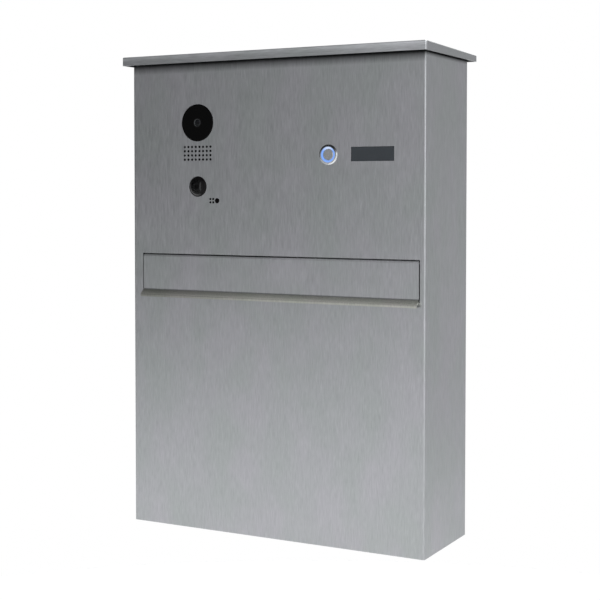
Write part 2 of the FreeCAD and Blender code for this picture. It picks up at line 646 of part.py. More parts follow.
def flap_hinge():
    """The fixed rod that the flap turns on, and the two brackets that hold its ends."""
    left = "flap_left - ear_gap - ear_sheet"
    right = "flap_right + ear_gap"
    node(rod("x", "flap_rod_radius", "flap_right - flap_left + 2 * (ear_gap + ear_sheet + rod_stub)",
             left + " - rod_stub", "flap_pivot_y", "flap_pivot_z"), "flap_hinge_rod")
    foot_low = "top_z - flap_drop + barrel_top_gap"
    foot_top = foot_low + " + bracket_height"
    for side, ear, foot in (("left", left, left), ("right", right, right + " + ear_sheet - bracket_foot")):
        low = "flap_pivot_z - ear_below"
        made = fuse([
            block(ear, "sheet_back", low,
                  "ear_sheet", "barrel_outer + ear_reach", foot_top + " - (" + low + ")"),
            block(foot, "sheet_back", foot_low, "bracket_foot", "ear_sheet", "bracket_height")])
        hole = rod("x", "flap_rod_radius + static_gap", "ear_sheet", ear, "flap_pivot_y", "flap_pivot_z")
        node(cut(made, hole), "hinge_bracket_" + side)


def letter_chute():
    """Sheet behind the slot: an upstand that the flap closes on, then a slope into the casing."""
    piece = Piece("letter_chute", "0", "sheet_back", "flap_low_z")
    side = piece.sketch("YZ", "-inner_x + chute_side_gap")
    drop = "chute_rise - chute_fall"
    outline(side, [("0", "-chute_foot_drop - chute_foot"), ("0", "-chute_foot_drop"),
                   ("chute_step", "-chute_foot_drop + chute_step"), ("chute_step", "chute_rise"),
                   ("chute_step + chute_sheet", "chute_rise"), ("chute_run", drop),
                   ("chute_run", drop + " - chute_slant"),
                   ("chute_step + chute_sheet", "chute_rise - chute_slant"),
                   ("chute_step + chute_sheet", "-chute_foot_drop + chute_step"),
                   ("chute_sheet", "-chute_foot_drop"), ("chute_sheet", "-chute_foot_drop - chute_foot")])
    piece.pad(side, "2 * inner_x - 2 * chute_side_gap")
    node(block("flap_left + seal_end_gap", "sheet_back", "flap_low_z + seal_low",
               "flap_right - flap_left - 2 * seal_end_gap", "chute_step", "seal_height"), "flap_seal")


# ---------------------------------------------------------------- bottom door
def bottom_door():
    """Door that closes the foot of the casing: a tray with two knuckles on its hinge line."""
    piece = Piece("bottom_door", "0", "door_pivot_y", "door_pivot_z")
    under = piece.sketch("XY", "-door_hinge_up")
    rectangle(under, "-door_half", "door_half", "door_front", "door_tail")
    piece.pad(under, "door_flange")
    hollow = piece.sketch("XY", "-door_hinge_up + door_sheet")
    rectangle(hollow, "-door_half + door_sheet", "door_half - door_sheet", "door_front + door_sheet",
              "door_tail + door_sheet")
    piece.pocket(hollow, "door_flange", reverse=True)
    tail = piece.sketch("XY", "-door_hinge_up + door_sheet")
    rectangle(tail, "-door_half - door_gap", "door_half + door_gap", "-flange_end_gap",
              "door_tail + door_sheet")
    piece.pocket(tail, "door_flange", reverse=True)
    knuckle_plan = piece.sketch("YZ", "-lug_x + lug_gap + lug_width")
    circle(knuckle_plan, "0", "0", "knuckle_outer")
    piece.pad(knuckle_plan, "knuckle_length")
    other = piece.sketch("YZ", "lug_x - lug_gap - lug_width - knuckle_length")
    circle(other, "0", "0", "knuckle_outer")
    piece.pad(other, "knuckle_length")
    webs = piece.sketch("XY", "-door_hinge_up")
    for start in ("-lug_x + lug_gap + lug_width", "lug_x - lug_gap - lug_width - knuckle_length"):
        rectangle(webs, start, start + " + knuckle_length", "-knuckle_outer", "0")
    piece.pad(webs, "door_hinge_up")
    bore = piece.sketch("YZ", "-door_half")
    circle(bore, "0", "0", "knuckle_inner")
    piece.pocket(bore, "2 * door_half", reverse=True)
    notches = piece.sketch("XY", "-door_hinge_up - door_sheet")
    for start in ("-lug_x - lug_gap", "lug_x - lug_width - lug_gap"):
        rectangle(notches, start, start + " + lug_width + 2 * lug_gap", "-notch_reach",
                  "door_tail + door_sheet")
    circle(notches, "0", "lock_y - door_pivot_y", "lock_barrel_radius + lock_hole_gap")
    piece.pocket(notches, "door_flange + 2 * door_sheet", reverse=True)


def door_hinge():
    """The rod under the door's knuckles, and the two lugs on the back panel that carry it."""
    node(rod("x", "door_rod_radius", "2 * (lug_x + rod_stub)", "-lug_x - rod_stub", "door_pivot_y",
             "door_pivot_z"), "door_hinge_rod")
    made = []
    for start, foot in (("-lug_x", "-lug_x - (lug_foot_width - lug_width) / 2"),
                        ("lug_x - lug_width", "lug_x - (lug_foot_width + lug_width) / 2")):
        reach = "panel_front - door_pivot_y"
        arm = block(start, "door_pivot_y", "door_pivot_z - lug_nose", "lug_width", reach,
                    "lug_nose + panel_foot - door_hinge_up + lug_foot_height")
        nose = rod("x", "lug_nose", "lug_width", start, "door_pivot_y", "door_pivot_z")
        plate = block(foot, "panel_front - lug_foot_sheet", "base_z + panel_foot", "lug_foot_width",
                      "lug_foot_sheet", "lug_foot_height")
        hole = rod("x", "door_rod_radius + static_gap", "lug_width", start, "door_pivot_y", "door_pivot_z")
        made.append(cut(fuse([arm, nose, plate]), hole))
    group(made, "door_hinge_lugs")


def door_catch():
    """Magnet block that holds the door shut, and the angle that the lock's cam turns over."""
    node(block("-inner_x + magnet_inset", "sheet_back", "base_z + door_flange + magnet_gap", "magnet_length",
               "magnet_depth", "magnet_height"), "door_magnet")
    top = "base_z + lock_barrel - keeper_drop"
    tab = block("-keeper_width / 2", "sheet_back", top + " - keeper_sheet", "keeper_width", "keeper_reach",
                "keeper_sheet")
    leg = block("-keeper_width / 2", "sheet_back", top + " - keeper_sheet - keeper_leg", "keeper_width",
                "keeper_sheet", "keeper_leg + keeper_sheet")
    node(fuse([tab, leg]), "door_keeper")


def door_lock():
    """Cam lock in the door: body, nut, key plug, cam and the screw that holds the cam."""
    body = Piece("lock_body", "0", "lock_y", "base_z")
    profile = body.sketch("XZ")
    bore = "plug_radius + plug_gap"
    outline(profile, [(bore, "-lock_rim"), ("lock_rim_radius", "-lock_rim"), ("lock_rim_radius", "0"),
                      ("lock_barrel_radius", "0"), ("lock_barrel_radius", "lock_barrel"),
                      (bore, "lock_barrel")])
    body.revolve(profile)
    nut = hexagon("z", "lock_nut_flats", "lock_nut_height", "0", "lock_y", "base_z + door_sheet")
    hole = rod("z", "lock_barrel_radius + static_gap", "lock_nut_height", "0", "lock_y",
               "base_z + door_sheet")
    node(cut(nut, hole), "lock_nut")
    plug = Piece("lock_plug", "0", "lock_y", "base_z")
    turned = plug.sketch("XZ")
    face = "-lock_rim + plug_recess"
    shoulder = "lock_barrel + cam_lift"
    outline(turned, [("0", face), ("plug_radius", face), ("plug_radius", shoulder), ("plug_neck", shoulder),
                     ("plug_neck", shoulder + " + cam_sheet"), ("0", shoulder + " + cam_sheet")])
    plug.revolve(turned)
    key = plug.sketch("XY", face)
    rectangle(key, "-key_slot_width / 2", "key_slot_width / 2", "-key_slot_length / 2", "key_slot_length / 2")
    plug.pocket(key, "key_slot_depth", reverse=True)
    blank = fuse([rod("z", "cam_width / 2", "cam_sheet", "0", "lock_y", "cam_low"),
                  block("0", "lock_y - cam_width / 2", "cam_low", "cam_reach", "cam_width", "cam_sheet")])
    eye = rod("z", "plug_neck + static_gap", "cam_sheet", "0", "lock_y", "cam_low")
    node(cut(blank, eye), "lock_cam")
    node(rod("z", "cam_screw_radius", "cam_screw_head", "0", "lock_y", "cam_low + cam_sheet"), "cam_screw")


# ---------------------------------------------------------------- door station
def turned_piece(label, x, z, points):
    """A round piece turned about an axis square to the casing's front, from (radius, depth) pairs."""
    piece = Piece(label, x, "front_y", z)
    profile = piece.sketch("XY")
    outline(profile, points)
    piece.revolve(profile)
    return piece


def camera():
    """Round camera cover with its gasket, lens ring, lens and camera module."""
    x, z = "camera_at", "top_z - camera_drop"
    inner = "lens_ring_radius + static_gap"
    turned_piece("camera_cover", x, z, [
        (inner, "-camera_proud"), ("camera_radius - camera_edge", "-camera_proud"),
        ("camera_radius", "camera_edge - camera_proud"), ("camera_radius", "flange_front"),
        ("cover_flange_radius", "flange_front"), ("cover_flange_radius", "flange_back"),
        (inner, "flange_back")])
    turned_piece("camera_gasket", x, z, [
        ("camera_radius + static_gap", "shell_sheet"), ("cover_flange_radius", "shell_sheet"),
        ("cover_flange_radius", "flange_front"), ("camera_radius + static_gap", "flange_front")])
    turned_piece("lens_ring", x, z, [
        ("lens_radius + static_gap", "0"), ("lens_radius + 2 * lens_set_back", "-camera_proud"),
        ("lens_ring_radius", "-camera_proud"), ("lens_ring_radius", "lens_ring_depth - camera_proud"),
        ("lens_radius + static_gap", "lens_ring_depth - camera_proud")])
    lens = turned_piece("camera_lens", x, z, [
        ("0", "lens_set_back"), ("lens_radius", "lens_set_back"),
        ("lens_radius", "lens_ring_depth - camera_proud"), ("0", "lens_ring_depth - camera_proud")])
    front = value("lens_set_back")
    lens.dress("Fillet", "lens_dome", lambda edge: edge.BoundBox.YMax < front + 1e-3)
    start = "front_y + lens_ring_depth"
    barrel = rod("y", "module_radius", "module_length", x, start, z)
    base = block(x + " - module_base / 2", start + " + module_length", z + " - module_base / 2",
                 "module_base", "module_base_sheet", "module_base")
    node(fuse([barrel, base]), "camera_module")


def speaker():
    """Loudspeaker with the acoustic cloth between it and the grille's holes."""
    x, z = "grille_at", "top_z - grille_drop"
    low = z + " - speaker_height / 2"
    node(block(x + " - speaker_width / 2", "sheet_back", low, "speaker_width", "speaker_cloth",
               "speaker_height"), "speaker_cloth")
    basket = block(x + " - speaker_width / 2", "sheet_back + speaker_cloth", low, "speaker_width",
                   "speaker_basket", "speaker_height")
    magnet = rod("y", "speaker_magnet", "speaker_magnet_length", x,
                 "sheet_back + speaker_cloth + speaker_basket", z)
    node(fuse([basket, magnet]), "speaker")


def motion_sensor():
    """Domed window of the movement sensor and the sensor can behind it."""
    x, z = "motion_at", "top_z - motion_drop"
    ball = doc.addObject("Part::Sphere", "ball")
    ball.setExpression("Radius", bound("dome_ball"))
    place(ball, x, "front_y - motion_dome + dome_ball", z)
    dome = doc.addObject("Part::Common", "dome")
    dome.Base = ball
    dome.Tool = rod("y", "motion_radius", "motion_dome + flange_front", x, "front_y - motion_dome", z)
    flange = rod("y", "motion_flange_radius", "motion_flange", x, "front_y + flange_front", z)
    hollow = rod("y", "motion_radius - motion_wall", "flange_back", x, "front_y", z)
    node(cut(fuse([dome, flange]), hollow), "motion_sensor_dome")
    turned_piece("motion_gasket", x, z, [
        ("motion_radius + static_gap", "shell_sheet"), ("motion_flange_radius", "shell_sheet"),
        ("motion_flange_radius", "flange_front"), ("motion_radius + static_gap", "flange_front")])
    start = "flange_front + motion_can_gap"
    turned_piece("motion_sensor", x, z, [
        ("0", start), ("motion_can_radius", start),
        ("motion_can_radius", start + " + motion_can_length"),
        ("motion_can_flange", start + " + motion_can_length"),
        ("motion_can_flange", "shell_sheet + board_set_back"), ("0", "shell_sheet + board_set_back")])


def microphone():
    """Microphone in its rubber boot, and the light guide beside it."""
    x, z = "mic_at", "top_z - mic_drop"
    turned_piece("microphone", x, z, [
        ("0", "flange_front"), ("mic_radius", "flange_front"), ("mic_radius", "flange_front + mic_length"),
        ("0", "flange_front + mic_length")])
    turned_piece("microphone_boot", x, z, [
        ("mic_radius + static_gap", "shell_sheet"), ("mic_boot_radius", "shell_sheet"),
        ("mic_boot_radius", "flange_front + mic_length"),
        ("mic_radius + static_gap", "flange_front + mic_length")])
    turned_piece("light_sensor_window", "light_at", z, [
        ("0", "0"), ("light_radius", "0"), ("light_radius", "shell_sheet"),
        ("light_flange_radius", "shell_sheet"), ("light_flange_radius", "flange_front"),
        ("light_radius", "flange_front"), ("light_radius", "light_length"), ("0", "light_length")])


def post_points():
    """Centres of the four screw posts in the housing's corners."""
    near = "housing_wall + post / 2"
    return [("housing_x + " + across, "housing_low + " + up)
            for across in (near, "housing_width - housing_wall - post / 2")
            for up in (near, "housing_height - housing_wall - post / 2")]


def tab_points():
    """Centres of the housing's four fixing tabs."""
    return [("housing_x + " + across, "housing_low + " + up)
            for across in ("-tab_width / 2", "housing_width + tab_width / 2")
            for up in ("tab_end_gap + tab_height / 2", "housing_height - tab_end_gap - tab_height / 2")]


def station_housing():
    """Tray behind the front sheet that holds the camera, speaker, sensors and circuit board."""
    piece = Piece("station_housing", "housing_x", "sheet_back", "housing_low")
    outer = piece.sketch("XZ")
    rectangle(outer, "0", "housing_width", "0", "housing_height")
    piece.pad(outer, "housing_depth", reverse=True)
    inner = piece.sketch("XZ", "-housing_wall")
    rectangle(inner, "housing_wall", "housing_width - housing_wall", "housing_wall",
              "housing_height - housing_wall")
    piece.pocket(inner, "housing_depth")
    posts = piece.sketch("XZ", "-housing_wall")
    tabs = piece.sketch("XZ")
    for across, up in post_points():
        x, z = across.replace("housing_x + ", ""), up.replace("housing_low + ", "")
        rectangle(posts, x + " - post / 2", x + " + post / 2", z + " - post / 2", z + " + post / 2")
    piece.pad(posts, "housing_depth - housing_wall", reverse=True)
    for across, up in tab_points():
        x, z = across.replace("housing_x + ", ""), up.replace("housing_low + ", "")
        rectangle(tabs, x + " - tab_width / 2", x + " + tab_width / 2", z + " - tab_height / 2",
                  z + " + tab_height / 2")
    piece.pad(tabs, "tab_sheet", reverse=True)
    windows = piece.sketch("XZ")
    zero = "top_z - housing_low - "
    gap = " + board_gap"
    circle(windows, "camera_at - housing_x", zero + "camera_drop", "cover_flange_radius" + gap)
    circle(windows, "motion_at - housing_x", zero + "motion_drop", "motion_flange_radius" + gap)
    rectangle(windows, "grille_at - housing_x - speaker_width / 2 - static_gap",
              "grille_at - housing_x + speaker_width / 2 + static_gap",
              zero + "grille_drop - speaker_height / 2 - static_gap",
              zero + "grille_drop + speaker_height / 2 + static_gap")
    rectangle(windows, "mic_at - housing_x - mic_boot_radius" + gap.replace("+", "-"),
              "light_at - housing_x + light_flange_radius" + gap,
              zero + "mic_drop - mic_boot_radius" + gap.replace("+", "-"),
              zero + "mic_drop + mic_boot_radius" + gap)
    piece.pocket(windows, "2 * housing_wall")
    holes = piece.sketch("XZ", "-housing_depth")
    for across, up in post_points():
        circle(holes, across + " - housing_x", up + " - housing_low", "post_hole")
    piece.pocket(holes, "cover_screw_length", reverse=True)
    slots = piece.sketch("XZ")
    for across, up in tab_points():
        circle(slots, across + " - housing_x", up + " - housing_low", "stud_radius + stud_gap")
    piece.pocket(slots, "2 * tab_sheet")


def station_board():
    """Circuit board, its terminal block and the housing's rear cover."""
    inset = "housing_wall + board_gap"
    board = Piece("circuit_board", "housing_x", "sheet_back + board_set_back", "housing_low")
    face = board.sketch("XZ")
    near = inset
    step = "housing_wall + post + board_gap"
    right = "housing_width - "
    top = "housing_height - "
    outline(face, [(step, near), (right + "(%s)" % step, near), (right + "(%s)" % step, step),
                   (right + "(%s)" % near, step), (right + "(%s)" % near, top + "(%s)" % step),
                   (right + "(%s)" % step, top + "(%s)" % step), (right + "(%s)" % step, top + "(%s)" % near),
                   (step, top + "(%s)" % near), (step, top + "(%s)" % step), (near, top + "(%s)" % step),
                   (near, step), (step, step)])
    board.pad(face, "board_sheet", reverse=True)
    x = "housing_x + (housing_width - terminal_width) / 2"
    z = "housing_low + terminal_rise"
    rear = "sheet_back + board_set_back + board_sheet"
    node(block(x, rear, z, "terminal_width", "terminal_depth", "terminal_height"), "terminal_block")
    cover = Piece("station_rear_cover", "housing_x", "front_y + housing_rear", "housing_low")
    plate = cover.sketch("XZ")
    rectangle(plate, "0", "housing_width", "0", "housing_height")
    rectangle(plate, x + " - housing_x - terminal_gap", x + " - housing_x + terminal_width + terminal_gap",
              "terminal_rise - terminal_gap", "terminal_rise + terminal_height + terminal_gap")
    for across, up in post_points():
        circle(plate, across + " - housing_x", up + " - housing_low", "cover_screw_radius + static_gap")
    cover.pad(plate, "cover_sheet", reverse=True)


def station_fixings():
    """Rear-cover screws, and the studs and nuts that hold the housing on the front sheet."""
    rear = "front_y + housing_rear + cover_sheet"
    screws = []
    for across, up in post_points():
        shank = rod("y", "cover_screw_radius", "cover_screw_length", across,
                    rear + " - cover_screw_length", up)
        head = rod("y", "cover_screw_head", "cover_screw_head_length", across, rear, up)
        screws.append(fuse([shank, head]))
    group(screws, "rear_cover_screws")
    group([rod("y", "stud_radius", "stud_length", across, "sheet_back", up) for across, up in tab_points()],
          "weld_studs")
    start = "sheet_back + tab_sheet"
    nuts = [cut(hexagon("y", "nut_flats", "nut_height", across, start, up),
                rod("y", "stud_radius + static_gap", "nut_height", across, start, up))
            for across, up in tab_points()]
    group(nuts, "housing_nuts")


# ---------------------------------------------------------------- call button
def call_button():
    """Push button with a lit ring: body, ring, cap, spring, switch, washer and nut."""
    x, z = "button_at", "top_z - button_drop"
    face = "-bezel_proud"
    turned_piece("button_body", x, z, [
        ("ring_radius + static_gap", face), ("bezel_radius - bezel_edge", face),
        ("bezel_radius", face + " + bezel_edge"), ("bezel_radius", "0"), ("barrel_radius", "0"),
        ("barrel_radius", "barrel_length"), ("cap_bore", "barrel_length"), ("cap_bore", "ring_back"),
        ("ring_radius + static_gap", "ring_back")])
    start = "ring_set_back - bezel_proud"
    turned_piece("button_light_ring", x, z, [
        ("ring_inner", start), ("ring_radius", start), ("ring_radius", "ring_back"),
        ("ring_inner", "ring_back")])
    edge = "ring_inner - cap_gap"
    turned_piece("call_button_cap", x, z, [
        ("0", "cap_front"), (edge + " - cap_edge", "cap_front"), (edge, "cap_front + cap_edge"),
        (edge, "ring_back + static_gap"), ("cap_flange_radius", "ring_back + static_gap"),
        ("cap_flange_radius", "cap_back"), ("stem_radius", "cap_back"),
        ("stem_radius", "cap_back + stem_length"), ("0", "cap_back + stem_length")])
    rear = "cap_back + stem_length + cap_travel + static_gap"
    case = rod("y", "cap_bore - static_gap", "switch_length", x, "front_y + " + rear, z)
    pins = [rod("y", "terminal_pin", "terminal_pin_length", x + " %s terminal_pin_in" % sign,
                "front_y + switch_length + " + rear, z) for sign in "+-"]
    node(fuse([case] + pins), "button_switch")
    node(cut(rod("y", "washer_radius", "washer_sheet", x, "sheet_back", z),
             rod("y", "barrel_radius + static_gap", "washer_sheet", x, "sheet_back", z)), "button_washer")
    seat = "sheet_back + washer_sheet"
    node(cut(hexagon("y", "button_nut_flats", "button_nut_height", x, seat, z),
             rod("y", "barrel_radius + static_gap", "button_nut_height", x, seat, z)), "button_nut")
    button_spring(x, z, "cap_back", rear)


def button_spring(x, z, start, stop):
    """Square-wire coil spring between the cap's flange and the switch."""
    half = value("spring_wire / 2")
    radius = value("spring_radius")
    rise = value("%s - (%s)" % (stop, start)) - 2 * half
    helix = Part.makeHelix(rise / value("spring_turns"), rise, radius)
    corners = [FreeCAD.Vector(radius + side * half, 0, up * half)
               for side, up in ((-1, -1), (1, -1), (1, 1), (-1, 1), (-1, -1))]
    coil = Part.Wire(helix.Edges).makePipeShell([Part.makePolygon(corners)], True, True)
    thing = doc.addObject("Part::Feature", "button_spring")
    thing.Shape = coil
    place(thing, x, "front_y + spring_wire / 2 + " + start, z, "y")
    node(thing, "button_spring")


# ---------------------------------------------------------------- nameplate
def nameplate():
    """Flush nameplate window, blank insert, holder and the light board behind it."""
    x, z = "plate_at", "top_z - plate_drop"

    def slab(y, margin, depth):
        size = "plate_%s + 2 * (" + margin + ")"
        return block(x + " - plate_width / 2 - (" + margin + ")", y,
                     z + " - plate_height / 2 - (" + margin + ")", size % "width", depth, size % "height")
    node(fuse([slab("front_y", "0", "shell_sheet"), slab("sheet_back", "plate_rim", "plate_rim_sheet")]),
         "nameplate_window")
    back = "sheet_back + plate_rim_sheet"
    node(slab(back, "-insert_margin", "insert_sheet"), "nameplate_insert")
    tray = slab("sheet_back", "plate_rim + holder_wall", "holder_depth")
    seat = slab("sheet_back", "plate_rim + static_gap", "plate_rim_sheet + static_gap")
    light_space = slab("sheet_back", "led_gap", "holder_depth - holder_wall")
    node(cut(tray, fuse([seat, light_space])), "nameplate_holder")
    node(slab("sheet_back + led_set_back", "0", "led_sheet"), "nameplate_light_board")


# ---------------------------------------------------------------- build, check and write
def check_document():
    """Stop on any failed object, and on any sub-part without a valid solid."""
    for thing in doc.Objects:
        if "Invalid" in thing.State or "Error" in thing.State:
            raise RuntimeError("%s (%s) failed: %s" % (thing.Label, thing.TypeId, thing.State))
    labels = [thing.Label for thing in nodes]
    if len(set(labels)) != len(labels):
        raise RuntimeError("two sub-parts share a name")
    for thing in nodes:
        if thing.Shape.isNull() or not thing.Shape.isValid() or not thing.Shape.Solids:
            raise RuntimeError("%s has no valid solid" % thing.Label)


def write_parts():
    """Write each sub-part to a STEP file named after it."""
    os.makedirs("parts", exist_ok=True)
    for thing in nodes:
        thing.Shape.exportStep("parts/%s.step" % thing.Label)


for make in (front_shell, back_panel, rivets, wall_spacers, cable_grommet, top_panel, roof_cap, roof_rails,
             roof_screws, partition_shelf, mail_flap, flap_hinge, letter_chute, bottom_door, door_hinge,
             door_catch, door_lock, camera, speaker, motion_sensor, microphone, station_housing,
             station_board, station_fixings, call_button, nameplate):
    make()
doc.recompute()
check_document()
write_parts()
print("%d sub-parts written" % len(nodes))
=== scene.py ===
"""Looks of a wall mounted mailbox with a door station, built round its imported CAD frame.

Metres throughout, in the frame of the CAD: +Z up, -Y the front, the wall at y = 0.
"""

import json
import math

import bmesh
import bpy
from mathutils import Euler, Matrix, Vector


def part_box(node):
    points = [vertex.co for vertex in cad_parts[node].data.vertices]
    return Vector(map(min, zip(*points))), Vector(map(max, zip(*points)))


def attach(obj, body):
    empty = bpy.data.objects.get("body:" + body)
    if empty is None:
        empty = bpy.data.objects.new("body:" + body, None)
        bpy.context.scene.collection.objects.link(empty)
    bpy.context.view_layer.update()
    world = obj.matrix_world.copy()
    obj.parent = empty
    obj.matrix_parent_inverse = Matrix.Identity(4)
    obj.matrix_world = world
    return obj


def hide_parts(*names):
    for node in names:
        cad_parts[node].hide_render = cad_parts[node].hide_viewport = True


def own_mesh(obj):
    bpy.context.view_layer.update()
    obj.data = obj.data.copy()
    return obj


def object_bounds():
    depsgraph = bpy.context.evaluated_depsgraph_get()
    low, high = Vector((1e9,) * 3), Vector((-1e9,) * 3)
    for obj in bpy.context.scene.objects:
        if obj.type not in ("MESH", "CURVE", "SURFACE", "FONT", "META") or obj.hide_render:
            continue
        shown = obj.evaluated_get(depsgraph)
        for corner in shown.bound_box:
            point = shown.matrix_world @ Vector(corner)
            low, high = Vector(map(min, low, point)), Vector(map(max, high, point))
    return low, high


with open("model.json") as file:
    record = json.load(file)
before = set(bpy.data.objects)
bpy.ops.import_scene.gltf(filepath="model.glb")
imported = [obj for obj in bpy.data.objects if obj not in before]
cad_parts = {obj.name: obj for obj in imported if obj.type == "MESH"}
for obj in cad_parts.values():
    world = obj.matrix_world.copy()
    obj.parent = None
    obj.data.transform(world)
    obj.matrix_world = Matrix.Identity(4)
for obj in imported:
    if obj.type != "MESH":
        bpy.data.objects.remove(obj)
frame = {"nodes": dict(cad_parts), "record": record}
CAD_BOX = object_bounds()
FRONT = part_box("front_shell")[0].y
HALF_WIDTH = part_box("front_shell")[1].x
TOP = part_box("front_shell")[1].z

# ---------------------------------------------------------------- sizes and tones
COOL = -0.012             # how far the steel's grey leans to blue
ROOF_LAP = 0.0037         # how far the roof's flanges reach down over the casing
THREAD = 0.0006           # pitch of the loudspeaker cloth
RINGS = 5200              # of turning marks and of the lens's coating, per metre of radius
RIVET_ROW = 0.139         # from the middle rivet of an edge to the next one
RIVET_HEAD, RIVET_SHANK, RIVET_HEAD_HEIGHT = 0.0038, 0.0020, 0.0012
SPRING_TURNS, SPRING_WIRE = 4.5, 0.0005
CLOSED_END = 0.16         # share of the coil that is closed up at each end
DOME_FACETS, DOME_FINE = 12, 5
DOME_FLANGE = 0.0019      # flange beyond the dome's rim
DOME_WALL = 0.0013
DOME_SEAT = 0.0015        # the flange's face, behind the front of the casing
LENSLET_RISE = 0.0004
BORE_START = 0.0004       # the dome's bore, behind the front of the casing
BORE_CROWN = 0.0014       # and its end, before it
SCREW_TURN_SEED = 7

# ---------------------------------------------------------------- studio
CAMERA_AT = (0.7132, -1.3991, 0.1182)
CAMERA_LOOKS_LEFT = 28.145
CAMERA_LOOKS_DOWN = 2.079
CAMERA_LENS = 78.5
CAMERA_SENSOR = 36.0
CAMERA_SHIFT = -0.10
FLOOR_DROP = 0.85
FLOOR_RADIUS = 2.8

# ---------------------------------------------------------------- shader maths
class Wire:
    """A shader output that takes part in ordinary arithmetic."""

    def __init__(self, finish, socket):
        self.finish = finish
        self.socket = socket

    def maths(self, operation, *values):
        return self.finish.maths(operation, *values)

    def __add__(self, other):
        return self.maths("ADD", self, other)

    def __sub__(self, other):
        return self.maths("SUBTRACT", self, other)

    def __rsub__(self, other):
        return self.maths("SUBTRACT", other, self)

    def __mul__(self, other):
        return self.maths("MULTIPLY", self, other)

    def __truediv__(self, other):
        return self.maths("DIVIDE", self, other)

    def __pow__(self, other):
        return self.maths("POWER", self, other)

    __radd__ = __add__


class Finish:
    """A node tree being wired: a material's or the world's."""

    def __init__(self, tree):
        self.tree = tree
        tree.nodes.clear()

    def node(self, kind, settings=None, values=None, output=0):
        """Add any node: its settings first, then its sockets' values or wires."""
        made = self.tree.nodes.new(kind)
        for name, setting in (settings or {}).items():
            if name == "stops":
                self.colour_stops(made.color_ramp, setting)
            else:
                setattr(made, name, setting)
        for name, value in (values or {}).items():
            if isinstance(value, Wire):
                self.tree.links.new(value.socket, made.inputs[name])
            else:
                made.inputs[name].default_value = value
        return Wire(self, made.outputs[output]) if made.outputs else made

    @staticmethod
    def colour_stops(ramp, stops):
        for index, (place, colour) in enumerate(stops):
            stop = ramp.elements[index] if index < 2 else ramp.elements.new(place)
            stop.position = place
            stop.color = (*colour, 1.0)

    def maths(self, operation, *values):
        return self.node("ShaderNodeMath", {"operation": operation}, dict(enumerate(values)))

    def axes(self):
        """The x, y and z of the object coordinates."""
        at = self.node("ShaderNodeTexCoord", output=3)
        return [self.node("ShaderNodeSeparateXYZ", None, {0: at}, output=axis) for axis in range(3)]

    def radius(self, centre):
        """Distance from a centre, measured across the front."""
        x, y, z = self.axes()
        return ((x - centre[0]) ** 2 + (z - centre[2]) ** 2) ** 0.5

    def place(self, scale, turn=(0, 0, 0)):
        """Object coordinates, turned and scaled."""
        at = self.node("ShaderNodeTexCoord", output=3)
        return self.node("ShaderNodeMapping", {"vector_type": "POINT"},
                         {"Vector": at, "Rotation": turn, "Scale": scale})

    def noise(self, at, detail, roughness=0.5):
        return self.node("ShaderNodeTexNoise", None,
                         {"Vector": at, "Scale": 1.0, "Detail": detail, "Roughness": roughness})

    def blend(self, share, first, second):
        """A colour between two colours."""
        return self.node("ShaderNodeMix", {"data_type": "RGBA"}, {0: share, 6: first, 7: second}, output=2)

    def tint(self, colour, level):
        """A colour made darker or lighter."""
        return self.node("ShaderNodeVectorMath", {"operation": "SCALE"}, {0: colour, "Scale": level})

    def span(self, value, low, high, to_low=0.0, to_high=1.0):
        """Carry one range of numbers to another, held at its ends."""
        return self.node("ShaderNodeMapRange", None,
                         {"Value": value, "From Min": low, "From Max": high,
                          "To Min": to_low, "To Max": to_high})

    def bump(self, height, depth, strength=1.0):
        return self.node("ShaderNodeBump", None, {"Height": height, "Distance": depth, "Strength": strength})

    def multiply(self, share, first, second):
        """One colour times another, as far as share says."""
        return self.node("ShaderNodeMix", {"data_type": "RGBA", "blend_type": "MULTIPLY"},
                         {0: share, 6: first, 7: second}, output=2)

    def surface(self, **values):
        """The Principled shader and the output."""
        sockets = {name.replace("_", " "): value for name, value in values.items()}
        shader = self.node("ShaderNodeBsdfPrincipled", None, sockets)
        self.node("ShaderNodeOutputMaterial", None, {"Surface": shader})


def grey(level, warm=0.0):
    """A grey as an RGBA colour, a little warm or, below zero, cool."""
    return (level * (1 + warm), level, level * (1 - warm), 1.0)


def new_finish(name):
    material = bpy.data.materials.new(name)
    material.use_nodes = True
    return material, Finish(material.node_tree)


# ---------------------------------------------------------------- finishes
def steel_colour(f, grain, cloud, base, contrast):
    """The grey of brushed stainless: fine light and dark hairs under a broad, faint clouding of hue."""
    colour = f.blend(grain, grey(base * (1 - contrast), COOL), grey(base * (1 + contrast), COOL))
    hue = f.blend(f.span(cloud, 0.35, 0.65), (0.955, 0.985, 0.965, 1), (1.025, 1.010, 1.035, 1))
    return f.multiply(1.0, colour, hue)


def brushed_steel(name, along="z", base=0.44, shade=None):
    """Brushed stainless sheet, its grain running along one axis; shade, when given, paints light and shade
    onto bends and gaps.
    """
    material, f = new_finish(name)
    order = {"x": (0, 1, 1), "y": (1, 0, 1), "z": (1, 1, 0)}[along]
    hair, streak, cloud = (f.noise(f.place([scale[across] for across in order]), detail=detail)
                           for scale, detail in (((110, 1500), 1.0), ((55, 700), 2.0), ((14, 22), 2.5)))
    grain = f.span(streak * 0.45 + hair * 0.55, 0.30, 0.70)
    colour = steel_colour(f, grain, cloud, base, 0.13)
    # Painted light and shade of bends and gaps, where the part has them.
    if shade is not None:
        colour = shade(f, colour)
    smear = f.noise(f.place((22, 22, 22)), detail=4.0)
    f.surface(Base_Color=colour, Metallic=1.0, Anisotropic=0.0 if along == "x" else 0.6,
              Roughness=f.span(streak, 0.3, 0.7, 0.29, 0.35) + f.span(smear, 0.55, 0.7, 0.0, 0.03),
              Normal=f.bump(hair * 0.6 + streak * 0.6, 0.00002, 0.35))
    return material


